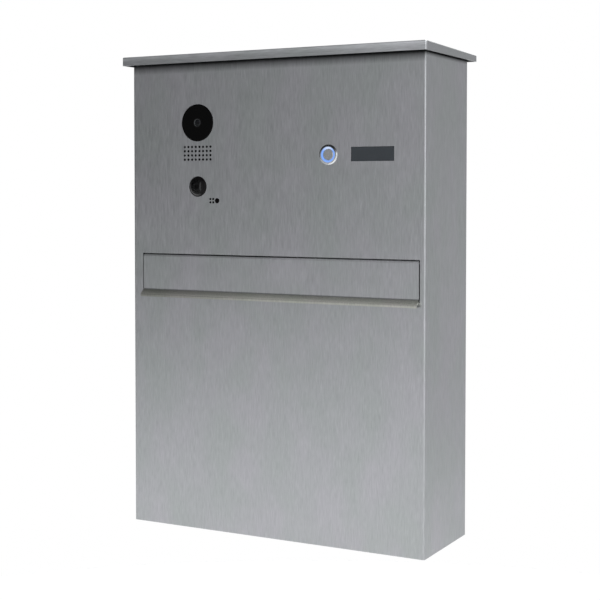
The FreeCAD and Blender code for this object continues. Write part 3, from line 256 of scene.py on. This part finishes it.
def turned_steel(name, centre, base, roughness, painted_shading=0.0):
    """Stainless turned on a lathe: fine rings about a centre on the front; the last argument sets painted
    shade on the upper side and a painted highlight on the lower side.
    """
    material, f = new_finish(name)
    up, radius = f.axes()[2] - centre[2], f.radius(centre)
    # Painted shade on the upper side and a painted highlight on the lower side, as strong as the last
    # argument.
    lift = f.span(up / radius, -0.7, 0.75, 1 + painted_shading * 0.7, 1 - painted_shading)
    rings = f.noise(f.node("ShaderNodeCombineXYZ", None, {0: radius * RINGS, 1: 0.3}), detail=2.0)
    cloud = f.noise(f.place((180, 180, 180)), detail=3.0)
    f.surface(Base_Color=f.tint(steel_colour(f, rings, cloud, base, 0.12), lift), Metallic=1.0,
              Roughness=f.span(cloud, 0.3, 0.7, roughness - 0.03, roughness + 0.04),
              Normal=f.bump(rings, 0.00001, 0.5))
    return material


def casing_shade(f, colour):
    """Painted shadow under the roof, and painted shade on the walls of the holes in the front sheet."""
    x, y, z = f.axes()
    roof = TOP - ROOF_LAP
    on_front = f.span(y, FRONT + 0.0002, FRONT + 0.0012, 1.0, 0.0)
    # Painted shadow under the roof: darker towards the roof, reaching further down the front than down the
    # sides.
    front_painted_shadow = f.span(z, roof - 0.0105, roof, 1.0, 0.12)
    side_painted_shadow = f.span(z, roof - 0.0045, roof, 1.0, 0.12)
    painted_roof_shadow = side_painted_shadow + (front_painted_shadow - side_painted_shadow) * on_front
    # Painted shade on the walls of the holes and the inside of the front sheet, kept off the side walls.
    painted_hole_shade = f.span(y, FRONT + 0.00003, FRONT + 0.00010) * f.span(y, FRONT + 0.008, FRONT + 0.009, 1.0, 0.0)
    within = f.span(f.maths("ABSOLUTE", x), HALF_WIDTH - 0.0030, HALF_WIDTH - 0.0025, 1.0, 0.0)
    return f.tint(colour, painted_roof_shadow * (1 - painted_hole_shade * within * 0.85))


def flap_painted_light(f, colour):
    """Painted light and shade on the flap: painted shade in the lip's bend and to the left, a painted
    highlight on the lip's rim, and a painted highlight on the rolled top.
    """
    x, y, z = f.axes()
    low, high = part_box("mail_flap")
    along = f.span(x, -0.150, 0.0)
    # Painted light on the lip's rim, darker to the left.
    rim = 0.75 + along * 0.45
    # Painted light and shade across the lip's bend: darker at its top and to the left.
    painted_bend_shade = f.span(z, low.z + 0.0030, low.z + 0.0084, 1.25, 0.62) * (0.95 + along * 0.95)
    lip = rim + (painted_bend_shade - rim) * f.span(z, low.z + 0.0026, low.z + 0.0036)
    proud = f.span(y, FRONT - 0.0012, FRONT - 0.0002, 1.0, 0.0)
    # Painted highlight on the flap's rolled top.
    painted_roll_highlight = f.span(z, high.z - 0.0026, high.z - 0.0008, 1.0, 1.9)
    warm = f.multiply(proud, colour, (1.03, 1.01, 0.90, 1))
    return f.tint(warm, painted_roll_highlight + (lip - painted_roll_highlight) * proud)


def roof_painted_light(f, colour):
    """The roof's flanges: a painted highlight along the bend and toward the right front corner, and painted
    shade on the right side flange.
    """
    x, y, z = f.axes()
    low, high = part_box("roof_cap")
    on_front = f.span(y, low.y + 0.0020, low.y + 0.0040, 1.0, 0.0)
    # Painted highlight on the front flange, brighter at the bend and to the right.
    front = f.span(z, low.z + 0.0040, high.z - 0.0010, 0.93, 1.36) * f.span(x, 0.050, 0.150, 1.0, 1.22)
    # Painted shade on the right side flange.
    side = f.span(x, high.x - 0.0030, high.x - 0.0015, 1.0, 0.84)
    return f.tint(colour, side + (front - side) * on_front)


def zinc_sheet(name):
    """Hot-dip galvanised sheet with its spangle of zinc crystals."""
    material, f = new_finish(name)
    wander = f.noise(f.place((60, 60, 60)), detail=2.0)
    crystals = f.node("ShaderNodeTexVoronoi", {"feature": "F1"},
                      {"Vector": f.place((75, 75, 75)), "Randomness": 1.0}, output=1)
    facet = f.node("ShaderNodeSeparateColor", None, {0: crystals})
    fine = f.noise(f.place((900, 900, 900)), detail=3.0)
    tone = f.span(facet * 0.6 + wander * 0.25 + fine * 0.15, 0.1, 0.85, 0.31, 0.46)
    colour = f.node("ShaderNodeCombineColor", None, {0: tone * 0.97, 1: tone, 2: tone * 1.03})
    f.surface(Base_Color=colour, Metallic=0.92, Roughness=f.span(facet + fine * 0.4, 0.1, 1.3, 0.33, 0.52),
              Normal=f.bump(fine * 0.3 + facet * 0.2, 0.00002, 0.5))
    return material


def worked_metal(name, colour, roughness):
    """Plated or machined metal with fine scratches and dull patches."""
    material, f = new_finish(name)
    patch = f.noise(f.place((260, 260, 260)), detail=4.0, roughness=0.6)
    hairs = f.noise(f.place((4000, 300, 900), turn=(0.5, 0.7, 0.2)), detail=1.0)
    dull = tuple(part * 0.72 for part in colour)
    f.surface(Base_Color=f.blend(f.span(patch, 0.3, 0.65), (*dull, 1.0), (*colour, 1.0)), Metallic=1.0,
              Roughness=f.span(patch + hairs * 0.3, 0.45, 0.85, roughness - 0.06, roughness + 0.12),
              Normal=f.bump(hairs, 0.000008, 0.5))
    return material


def black_window(name):
    """Black gloss window plastic over a sensor, with faint dust and wiping marks."""
    material, f = new_finish(name)
    dust = f.noise(f.place((3200, 3200, 3200)), detail=1.0)
    wipe = f.noise(f.place((90, 40, 20), turn=(0, 0.5, 0)), detail=3.0)
    speck = f.span(dust, 0.76, 0.82)
    f.surface(Base_Color=f.blend(speck * 0.25, grey(0.0018), grey(0.03)), Specular_IOR_Level=0.08,
              Roughness=f.span(wipe, 0.35, 0.7, 0.09, 0.17) + speck * 0.2, Normal=f.bump(wipe, 0.00001, 0.3))
    return material


def moulded_plastic(name, colour, roughness=0.52, grain=0.00002):
    """Moulded plastic with a spark-eroded texture and flow marks."""
    material, f = new_finish(name)
    pits = f.noise(f.place((2400, 2400, 2400)), detail=2.0)
    flow = f.noise(f.place((30, 55, 18)), detail=3.0)
    pale = tuple(part * 1.35 + 0.002 for part in colour)
    f.surface(Base_Color=f.blend(f.span(flow * 0.5 + pits * 0.5, 0.35, 0.65), (*colour, 1.0), (*pale, 1.0)),
              Specular_IOR_Level=0.4, Roughness=f.span(pits, 0.3, 0.7, roughness - 0.07, roughness + 0.08),
              Normal=f.bump(pits, grain))
    return material


def coated_glass(name, centre):
    """A small coated lens: a dark pupil inside rings of violet and green reflection."""
    material, f = new_finish(name)
    radius = f.radius(centre)
    waves = f.maths("SINE", radius * RINGS) * 0.5 + 0.5
    rim = f.span(radius, 0.0006, 0.0034)
    coat = f.blend(waves, (0.006, 0.004, 0.012, 1), (0.003, 0.008, 0.007, 1))
    f.surface(Base_Color=f.blend(rim, grey(0.0008), coat), Roughness=f.span(waves, 0, 1, 0.03, 0.06),
              Specular_IOR_Level=0.3, Coat_Weight=f.span(rim, 0, 1, 0.05, 0.15), Coat_Roughness=0.03)
    return material


def dome_plastic(name, centre):
    """Black dome plastic, with a painted highlight near its rim low on the left and another painted highlight
    on the right.
    """
    material, f = new_finish(name)
    x, _, z = f.axes()
    across, up, radius = x - centre[0], z - centre[2], f.radius(centre)
    haze = f.noise(f.place((500, 500, 500)), detail=3.0)
    # Painted highlight in a band near the rim, low on the left.
    rim = f.span(radius, 0.0082, 0.0090) * f.span(radius, 0.0102, 0.0109, 1.0, 0.0)
    rim = rim * f.span(across + up, -0.0120, -0.0020, 1.0, 0.0)
    # Painted highlight in a short upright band on the right.
    painted_right_highlight = f.span(across, 0.0036, 0.0046) * f.span(across, 0.0052, 0.0062, 1.0, 0.0)
    painted_right_highlight = painted_right_highlight * f.span(f.maths("ABSOLUTE", up), 0.0030, 0.0062, 0.6, 0.0)
    f.surface(Base_Color=f.blend((rim + painted_right_highlight) * (0.5 + haze), grey(0.0012), grey(0.075)),
              Roughness=f.span(haze, 0.3, 0.7, 0.05, 0.11), Specular_IOR_Level=0.13,
              Normal=f.bump(haze, 0.00001, 0.3))
    return material


def lens_surround(name, centre):
    """The satin ring round the lens: a pale inner lip with a painted highlight, brightest to the left, in a
    black seat.
    """
    material, f = new_finish(name)
    across, radius = f.axes()[0] - centre[0], f.radius(centre)
    pits = f.noise(f.place((2400, 2400, 2400)), detail=2.0)
    # Pale inner lip with a painted highlight, brightest to the left.
    lip = f.span(radius, 0.0043, 0.0046, 1.0, 0.0) * f.span(across, -0.0042, 0.0010, 1.0, 0.35)
    f.surface(Base_Color=f.blend(lip, grey(0.0016), grey(0.055, -0.04)), Specular_IOR_Level=0.12,
              Roughness=f.span(pits, 0.3, 0.7, 0.2, 0.3), Normal=f.bump(pits, 0.00001))
    return material


def woven_cloth(name):
    """Black loudspeaker cloth: a plain weave of fine threads."""
    material, f = new_finish(name)
    x, _, z = f.axes()
    warp, weft = (f.maths("SINE", axis * 2 * math.pi / THREAD) for axis in (x, z))
    weave = warp * weft * 0.5 + 0.5
    fluff = f.noise(f.place((1800, 1800, 1800)), detail=3.0)
    f.surface(Base_Color=f.blend(weave * 0.7 + fluff * 0.3, grey(0.002), grey(0.012)), Roughness=0.95,
              Specular_IOR_Level=0.1, Sheen_Weight=0.2, Normal=f.bump(weave + fluff * 0.4, 0.0001))
    return material


def glowing_ring(name, centre):
    """Frosted light guide round the call button, glowing whiter towards the top."""
    material, f = new_finish(name)
    lift = (f.axes()[2] - centre[2]) / f.radius(centre)
    frost = f.noise(f.place((1500, 1500, 1500)), detail=2.0)
    glow = f.blend(f.span(lift, 0.55, 1.0), (0.19, 0.40, 1.0, 1), (0.62, 0.74, 1.0, 1))
    f.surface(Base_Color=f.blend(frost, grey(0.07, -0.2), grey(0.12, -0.2)),
              Roughness=f.span(frost, 0.3, 0.7, 0.35, 0.5), Emission_Color=glow, Emission_Strength=0.85)
    return material


def solder_resist(name):
    """Green solder resist over copper tracks."""
    material, f = new_finish(name)
    tracks = f.node("ShaderNodeTexBrick", {"offset": 0.37, "squash": 0.6, "squash_frequency": 3},
                    {"Vector": f.place((160, 160, 160), turn=(math.pi / 2, 0, 0)), "Scale": 1.0,
                     "Mortar Size": 0.05, "Brick Width": 1.1, "Row Height": 0.28}, output=1)
    mottle = f.noise(f.place((700, 700, 700)), detail=2.0)
    bare = f.blend(mottle, (0.008, 0.07, 0.025, 1), (0.012, 0.09, 0.035, 1))
    f.surface(Base_Color=f.blend(tracks, bare, (0.03, 0.17, 0.06, 1)), Coat_Weight=0.3,
              Roughness=f.span(mottle, 0.3, 0.7, 0.25, 0.38), Normal=f.bump(tracks, 0.00004))
    return material


def slate_glass(name, low, high):
    """Dark slate window of the nameplate, with painted shade along the top and the left edge where its frame
    shades it.
    """
    material, f = new_finish(name)
    x, _, z = f.axes()
    haze = f.noise(f.place((60, 60, 160)), detail=3.0)
    colour = f.blend(haze, grey(0.045, -0.13), grey(0.053, -0.13))
    # Painted shade along the top and the left edge.
    edge = f.span(z, high.z - 0.0022, high.z - 0.0006, 1.0, 0.35)
    edge = edge * f.span(x, low.x + 0.0004, low.x + 0.0012, 0.6, 1.0)
    f.surface(Base_Color=f.tint(colour, edge), Specular_IOR_Level=0.25,
              Roughness=f.span(haze, 0.3, 0.7, 0.28, 0.36), Normal=f.bump(haze, 0.00002, 0.3))
    return material


def paper_card(name):
    """Plain blank card with its fibres."""
    material, f = new_finish(name)
    fibre = f.noise(f.place((900, 900, 2600), turn=(0, 0.6, 0)), detail=4.0)
    f.surface(Base_Color=f.blend(fibre, (0.62, 0.62, 0.58, 1), (0.74, 0.74, 0.71, 1)),
              Roughness=f.span(fibre, 0.3, 0.7, 0.75, 0.9), Normal=f.bump(fibre, 0.00003))
    return material


def middle(node):
    """The centre of a CAD node's box."""
    low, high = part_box(node)
    return tuple((low + high) / 2)


BUTTON_AT = middle("call_button_cap")
LENS_AT = middle("camera_lens")
FINISHES = {
    "brushed_stainless": brushed_steel("upright_grain_steel"),
    "galvanised_steel": zinc_sheet("galvanised_sheet"),
    "bright_hardware": worked_metal("bright_zinc", (0.62, 0.62, 0.63), 0.26),
    "black_gloss": black_window("black_window_plastic"),
    "black_plastic": moulded_plastic("black_moulding", (0.014, 0.014, 0.015)),
    "black_rubber": moulded_plastic("black_rubber", (0.012, 0.012, 0.012), 0.74, 0.00004),
    "lens_glass": coated_glass("coated_lens", LENS_AT),
    "acoustic_cloth": woven_cloth("loudspeaker_cloth"),
    "lit_ring": glowing_ring("glowing_light_guide", BUTTON_AT),
    "circuit_board": solder_resist("green_solder_resist"),
    "terminal_green": moulded_plastic("green_terminal_plastic", (0.02, 0.16, 0.05), 0.45),
    "slate_window": slate_glass("slate_window", *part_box("nameplate_window")),
    "insert_card": paper_card("blank_card"),
    "brass": worked_metal("machined_brass", (0.62, 0.46, 0.19), 0.3),
    "magnet": moulded_plastic("magnet_housing", (0.04, 0.04, 0.043), 0.5),
}
OWN_FINISHES = {
    "front_shell": brushed_steel("casing_steel", shade=casing_shade),
    "mail_flap": brushed_steel("flap_steel", shade=flap_painted_light),
    "roof_cap": brushed_steel("roof_steel", along="x", base=0.49, shade=roof_painted_light),
    "call_button_cap": turned_steel("button_cap_steel", BUTTON_AT, 0.50, 0.24),
    "button_body": turned_steel("button_bezel_steel", BUTTON_AT, 0.52, 0.17, painted_shading=0.85),
    "lens_ring": lens_surround("lens_ring_satin", LENS_AT),
    "microphone": moulded_plastic("microphone_felt", (0.01, 0.01, 0.011), 0.8),
}
for part in frame["record"]["subparts"]:
    for slot in frame["nodes"][part["node"]].material_slots:
        slot.material = OWN_FINISHES.get(part["node"], FINISHES[part["material_slot"]])


# ---------------------------------------------------------------- repeated and turned pieces
def turned(profile, sides):
    """A closed solid of revolution about +Z from its outline of (radius, height), both ends on the axis."""
    shape = bmesh.new()
    corners = [shape.verts.new((radius, 0, height)) for radius, height in profile]
    edges = [shape.edges.new(pair) for pair in zip(corners, corners[1:])]
    bmesh.ops.spin(shape, geom=corners + edges, cent=(0, 0, 0), axis=(0, 0, 1), angle=2 * math.pi,
                   steps=sides)
    bmesh.ops.remove_doubles(shape, verts=shape.verts, dist=1e-6)
    return shape


def as_object(name, shape, smooth=True):
    """Turn a bmesh into an object with its normals outward."""
    bmesh.ops.recalc_face_normals(shape, faces=shape.faces)
    for face in shape.faces:
        face.smooth = smooth
    mesh = bpy.data.meshes.new(name)
    shape.to_mesh(mesh)
    shape.free()
    made = bpy.data.objects.new(name, mesh)
    bpy.context.scene.collection.objects.link(made)
    return made


class Grower:
    """A Geometry Nodes tree being wired, with named inputs."""

    def __init__(self, name, inputs):
        self.tree = bpy.data.node_groups.new(name, "GeometryNodeTree")
        for label, kind in inputs.items():
            self.tree.interface.new_socket(label, in_out="INPUT", socket_type="NodeSocket" + kind)
        self.tree.interface.new_socket("Geometry", in_out="OUTPUT", socket_type="NodeSocketGeometry")
        self.given = self.tree.nodes.new("NodeGroupInput").outputs

    def add(self, kind, settings=None, wires=None, values=None):
        """Add a node, with its settings, the wires into it and its plain values; returns its outputs."""
        made = self.tree.nodes.new(kind)
        for key, setting in (settings or {}).items():
            setattr(made, key, setting)
        for socket, sources in (wires or {}).items():
            for source in sources if isinstance(sources, list) else [sources]:
                self.tree.links.new(source, made.inputs[socket])
        for socket, value in (values or {}).items():
            made.inputs[socket].default_value = value
        return made.outputs

    def face(self, geometry):
        """Turn what was made on the plane z = 0 to face its way, and carry it to its centre."""
        return self.add("GeometryNodeTransform", wires={
            "Geometry": geometry, "Translation": self.given["Centre"], "Rotation": self.given["Facing"]})[0]

    def end(self, geometry):
        """Make instances real, give the finish, and hand the geometry out."""
        real = self.add("GeometryNodeRealizeInstances", wires={0: geometry})
        finished = self.add("GeometryNodeSetMaterial",
                            wires={"Geometry": real[0], "Material": self.given["Finish"]})
        self.add("NodeGroupOutput", wires={0: finished[0]})
        return self.tree


def rows_tree():
    """Sets a piece out in rows on a plane, each one turned by chance about its own axis."""
    grow = Grower("set_out_in_rows", {
        "Piece": "Object", "Columns": "Int", "Rows": "Int", "Inner rows": "Int", "Width": "Float",
        "Height": "Float", "Inner height": "Float", "Centre": "Vector", "Facing": "Vector",
        "Turn": "Float", "Seed": "Int", "Finish": "Material"})
    given = grow.given
    grids = [grow.add("GeometryNodeMeshGrid", wires={
        "Size X": given["Width"], "Size Y": given[height],
        "Vertices X": given["Columns"], "Vertices Y": given[rows]})[0]
        for rows, height in (("Rows", "Height"), ("Inner rows", "Inner height"))]
    places = grow.add("GeometryNodeJoinGeometry", wires={0: grids})
    piece = grow.add("GeometryNodeObjectInfo", wires={"Object": given["Piece"]})
    least = grow.add("ShaderNodeMath", {"operation": "MULTIPLY"}, {0: given["Turn"]}, {1: -1.0})
    chance = grow.add("FunctionNodeRandomValue", {"data_type": "FLOAT"},
                      {"Min": least[0], "Max": given["Turn"], "Seed": given["Seed"]})
    turn = grow.add("ShaderNodeCombineXYZ", wires={"Z": chance["Value"]})
    placed = grow.add("GeometryNodeInstanceOnPoints",
                      wires={"Points": places[0], "Instance": piece["Geometry"], "Rotation": turn[0]})
    return grow.end(grow.face(placed[0]))


def coil_tree():
    """Winds a compression spring of round wire, its end turns closed up."""
    grow = Grower("wind_coil", {"Turns": "Float", "Radius": "Float", "Wire": "Float", "Height": "Float",
                                "Centre": "Vector", "Facing": "Vector", "Finish": "Material"})
    given = grow.given
    line = grow.add("GeometryNodeCurveSpiral",
                    wires={"Rotations": given["Turns"], "Start Radius": given["Radius"],
                           "End Radius": given["Radius"]}, values={"Resolution": 40, "Height": 0.0})
    along = grow.add("GeometryNodeSplineParameter")
    rise = grow.add("ShaderNodeMapRange", {"interpolation_type": "SMOOTHSTEP"},
                    {"Value": along["Factor"], "To Max": given["Height"]},
                    {"From Min": CLOSED_END, "From Max": 1 - CLOSED_END})
    lift = grow.add("ShaderNodeCombineXYZ", wires={"Z": rise[0]})
    wound = grow.add("GeometryNodeSetPosition", wires={"Geometry": line[0], "Offset": lift[0]})
    section = grow.add("GeometryNodeCurvePrimitiveCircle", wires={"Radius": given["Wire"]},
                       values={"Resolution": 10})
    wire = grow.add("GeometryNodeCurveToMesh", wires={"Curve": wound[0], "Profile Curve": section[0]},
                    values={"Fill Caps": True})
    return grow.end(grow.face(wire[0]))


ROWS = rows_tree()
COIL = coil_tree()


def stand_for(piece, node):
    """Let a fixed piece stand in place of a CAD node."""
    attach(piece, "casing")
    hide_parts(node)


def grown(name, tree, values, node):
    """Run a tree with its inputs set, keep the result as one plain mesh, and let it stand for a CAD node."""
    host = bpy.data.objects.new(name, bpy.data.meshes.new(name))
    bpy.context.scene.collection.objects.link(host)
    modifier = host.modifiers.new("grow", "NODES")
    modifier.node_group = tree
    for item in tree.interface.items_tree:
        if item.in_out == "INPUT":
            modifier[item.identifier] = values[item.name]
    mesh = bpy.data.meshes.new_from_object(host.evaluated_get(bpy.context.evaluated_depsgraph_get()))
    host.modifiers.remove(modifier)
    host.data = mesh
    stand_for(host, node)
    return host


def set_out(name, shape, node, values):
    """Stand a piece for a CAD node of fasteners: one shape repeated in rows."""
    one = as_object(name + "_one", shape)
    grown(name, ROWS, {"Piece": one, "Seed": SCREW_TURN_SEED, "Turn": math.pi, "Inner rows": 0,
                       "Inner height": 0.0, "Finish": FINISHES["bright_hardware"], **values}, node)
    bpy.data.objects.remove(one)


def grid_of(node, head):
    """The width, height and centre of a grid of round heads, from the node's box and the head's radius."""
    low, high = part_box(node)
    return high - low - Vector((2 * head, 2 * head, 2 * head)), (low + high) / 2


def back_rivets():
    """Blind rivets down both edges of the back panel, with the snapped mandrel in each head."""
    head, shank = RIVET_HEAD, RIVET_SHANK
    low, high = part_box("back_panel_rivets")
    span, centre = grid_of("back_panel_rivets", head)
    half = (high.y - low.y) / 2
    seat = half - RIVET_HEAD_HEIGHT
    outline = [(0, -half), (0.0018, -half), (0.0029, -half + 0.0003), (0.0033, -half + 0.0007),
               (0.0030, -seat), (shank, -seat), (shank, seat), (head, seat), (head, seat + 0.0002),
               (0.0034, seat + 0.0007),
               (0.0025, half - 0.0001), (0.0017, half), (0.0014, half - 0.0001), (0.0012, half - 0.0008),
               (0.0010, half - 0.0009), (0.0009, half - 0.0006), (0.0004, half - 0.0005), (0, half - 0.0007)]
    set_out("back_blind_rivets", turned(outline, 28), "back_panel_rivets",
            {"Columns": 2, "Rows": 3, "Inner rows": 2, "Width": span.x, "Height": span.z,
             "Inner height": 2 * RIVET_ROW, "Centre": tuple(centre), "Facing": (-math.pi / 2, 0.0, 0.0)})


def cross_head_screws(name, node, head, shank, length, to_wall):
    """Round-headed screws with a cross recess, facing the wall or down; head and shank are radii."""
    span, centre = grid_of(node, head)
    low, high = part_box(node)
    height, top = (span.z, (high.y - low.y) / 2) if to_wall else (span.y, (high.z - low.z) / 2)
    seat = top - length
    outline = [(0, -top), (shank * 0.8, -top), (shank, -top + 0.0004), (shank, seat), (head, seat),
               (head, seat + length * 0.25), (head * 0.93, seat + length * 0.6),
               (head * 0.75, top - length * 0.12), (head * 0.62, top - length * 0.05),
               (head * 0.55, top - length * 0.03), (head * 0.45, top - length * 0.02),
               (head * 0.35, top - length * 0.01), (head * 0.25, top), (head * 0.12, top), (0, top)]
    shape = turned(outline, 32)
    recess = head * 0.56
    for vertex in shape.verts:
        x, y, z = vertex.co
        reach = math.hypot(x, y)
        if z > top - length * 0.06 and reach < recess and min(abs(x), abs(y)) < head * 0.11:
            vertex.co.z -= length * 0.55 * (1 - 0.5 * reach / recess)
    set_out(name, shape, node,
            {"Columns": 2, "Rows": 2, "Width": span.x, "Height": height, "Centre": tuple(centre),
             "Facing": (-math.pi / 2 if to_wall else math.pi, 0.0, 0.0)})


def return_spring():
    """The call button's spring."""
    low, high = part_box("button_spring")
    centre = (low + high) / 2
    length = high.y - low.y
    coil = grown("button_return_spring", COIL,
                 {"Turns": SPRING_TURNS, "Radius": (high.x - low.x) / 2 - SPRING_WIRE, "Wire": SPRING_WIRE,
                  "Height": length - 2 * SPRING_WIRE, "Centre": (centre.x, low.y + SPRING_WIRE, centre.z),
                  "Facing": (-math.pi / 2, 0.0, 0.0), "Finish": FINISHES["bright_hardware"]}, "button_spring")
    for face in coil.data.polygons:
        face.use_smooth = True
    joints = {joint["name"]: joint for joint in frame["record"]["behaviour"]["joints"]}
    travel = joints["button_press"]["range_m"][1]
    1 - travel / length
    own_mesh(coil)


def dome_rings(rim, flange, tip, back):
    """Rings of (radius, angle, depth) corners, bore and flange first, then facets up to the dome's crown.

    The second result is how many of them are walls.
    """
    sides = DOME_FACETS * DOME_FINE
    angles = [2 * math.pi * step / sides for step in range(sides)]
    corner = 2 * math.pi / DOME_FACETS
    crown = [(1.0, 0.0), (0.93, 0.20), (0.74, 0.56), (0.48, 0.84), (0.22, 0.97)]
    bore = rim - DOME_WALL
    seat = FRONT + DOME_SEAT
    walls = [(bore, FRONT + BORE_START), (bore, back), (flange, back), (flange, seat), (rim, seat)]
    rings = [[(radius, angle, depth) for angle in angles] for radius, depth in walls]
    for index, (share, rise) in enumerate(crown):
        ring = []
        for step, angle in enumerate(angles):
            within = (step % DOME_FINE) / DOME_FINE * corner - corner / 2
            pull = 1.0 if index == 0 else math.cos(corner / 2) / math.cos(within)
            ring.append((rim * share * pull, angle, FRONT + (tip - FRONT) * rise))
        rings.append(ring)
    return rings, len(walls)


def movement_dome():
    """The movement sensor's window: a dome cut into lens facets, on a flange behind the sheet."""
    low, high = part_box("motion_sensor_dome")
    centre = (low + high) / 2
    flange = (high.x - low.x) / 2
    rings, walls = dome_rings(flange - DOME_FLANGE, flange, low.y, high.y)
    sides = len(rings[0])
    shape = bmesh.new()
    loops = [[shape.verts.new((centre.x + radius * math.sin(angle), depth,
                               centre.z + radius * math.cos(angle)))
              for radius, angle, depth in ring] for ring in rings]
    for first, second in zip(loops[:walls], loops[1:]):
        for step in range(sides):
            shape.faces.new((first[step], first[step - 1], second[step - 1], second[step]))
    for outer, inner in zip(loops[walls:], loops[walls + 1:]):
        for start in range(0, sides, DOME_FINE):
            steps = [(start + step) % sides for step in range(DOME_FINE + 1)]
            edge = [outer[step] for step in steps] + [inner[step] for step in reversed(steps)]
            lens = shape.verts.new(sum((corner.co for corner in edge), Vector()) / len(edge)
                                   - Vector((0, LENSLET_RISE, 0)))
            for corner, following in zip(edge, edge[1:] + edge[:1]):
                shape.faces.new((corner, following, lens))
    for loop, depth in ((loops[0], FRONT - BORE_CROWN), (loops[-1], low.y)):
        tip = shape.verts.new((centre.x, depth, centre.z))
        for step in range(sides):
            shape.faces.new((loop[step], loop[step - 1], tip))
    dome = as_object("faceted_movement_dome", shape, smooth=False)
    dome.data.materials.append(dome_plastic("dome_black_plastic", tuple(centre)))
    stand_for(dome, "motion_sensor_dome")


back_rivets()
cross_head_screws("roof_cross_head_screws", "roof_screws", 0.0040, 0.0020, 0.0024, False)
cross_head_screws("cover_cross_head_screws", "rear_cover_screws", 0.0026, 0.00125, 0.0018, True)
return_spring()
movement_dome()


# ---------------------------------------------------------------- camera, floor and light
def set_camera():
    data = bpy.data.cameras.new("camera")
    data.lens = CAMERA_LENS
    data.sensor_width = CAMERA_SENSOR
    data.shift_y = CAMERA_SHIFT
    camera = bpy.data.objects.new("camera", data)
    camera.location = CAMERA_AT
    camera.rotation_euler = Euler((math.radians(90 - CAMERA_LOOKS_DOWN), 0, math.radians(CAMERA_LOOKS_LEFT)))
    bpy.context.scene.collection.objects.link(camera)
    bpy.context.scene.camera = camera


def lay_floor():
    """A round pale floor, well below the wall mounted box."""
    shape = bmesh.new()
    bmesh.ops.create_circle(shape, cap_ends=True, radius=FLOOR_RADIUS, segments=96,
                            matrix=Matrix.Translation((0, 0, CAD_BOX[0].z - FLOOR_DROP)))
    mesh = bpy.data.meshes.new("floor")
    shape.to_mesh(mesh)
    shape.free()
    floor = bpy.data.objects.new("floor", mesh)
    bpy.context.scene.collection.objects.link(floor)
    material, f = new_finish("pale_floor")
    dust = f.noise(f.place((3, 3, 3)), detail=3.0)
    f.surface(Base_Color=f.blend(dust, grey(0.90), grey(0.93)), Roughness=0.9, Specular_IOR_Level=0.0,
              Emission_Color=grey(1.0), Emission_Strength=0.15)
    mesh.materials.append(material)


def hang_sky():
    """Studio surroundings: white to look at; reflected, a light wall, a dark ceiling and a light table."""
    world = bpy.data.worlds.new("studio")
    world.use_nodes = True
    bpy.context.scene.world = world
    f = Finish(world.node_tree)
    at = f.node("ShaderNodeTexCoord")
    across, away, up = (f.node("ShaderNodeSeparateXYZ", None, {0: at}, output=axis) for axis in range(3))
    behind = f.span(away, -0.35, 0.25)
    front_wall = f.span(across, -0.74, -0.05, 0.03, 0.94)
    rear_wall = f.span(up, -0.18, 0.08, 0.67, 0.51)
    wall = front_wall + (rear_wall - front_wall) * behind
    front_table = f.span(up, -0.24, -0.060, 1.0, 0.0)
    rear_table = f.span(up, -0.27, -0.17, 1.0, 0.0)
    table = front_table + (rear_table - front_table) * behind
    level = wall + (1.18 - behind * 0.25 - wall) * table
    level = level + (0.24 - level) * f.span(up, 0.35, 0.85)
    toward = f.node("ShaderNodeVectorMath", {"operation": "DOT_PRODUCT"},
                    {0: at, 1: (0.886, -0.464, 0.0)}, output=1)
    level = level + f.span(toward, 0.9, 0.98) * f.span(up, -0.16, 0.04, 0.0, 0.9)
    seen = f.node("ShaderNodeLightPath")
    white = f.node("ShaderNodeBackground", None, {"Color": grey(1.0), "Strength": 1.0})
    soft = f.node("ShaderNodeBackground", None, {"Color": (0.985, 0.995, 1.02, 1.0), "Strength": level})
    both = f.node("ShaderNodeMixShader", None, {0: seen, 1: soft, 2: white})
    f.node("ShaderNodeOutputWorld", None, {"Surface": both})


def add_sun(name, strength, turn, spread):
    data = bpy.data.lights.new(name, "SUN")
    data.energy = strength
    data.angle = math.radians(spread)
    sun = bpy.data.objects.new(name, data)
    sun.rotation_euler = Euler([math.radians(angle) for angle in turn])
    bpy.context.scene.collection.objects.link(sun)


bpy.context.scene.view_settings.view_transform = "Standard"
set_camera()
lay_floor()
hang_sky()
add_sun("rear_light", 2.4, (-36, 16, 0), 40)
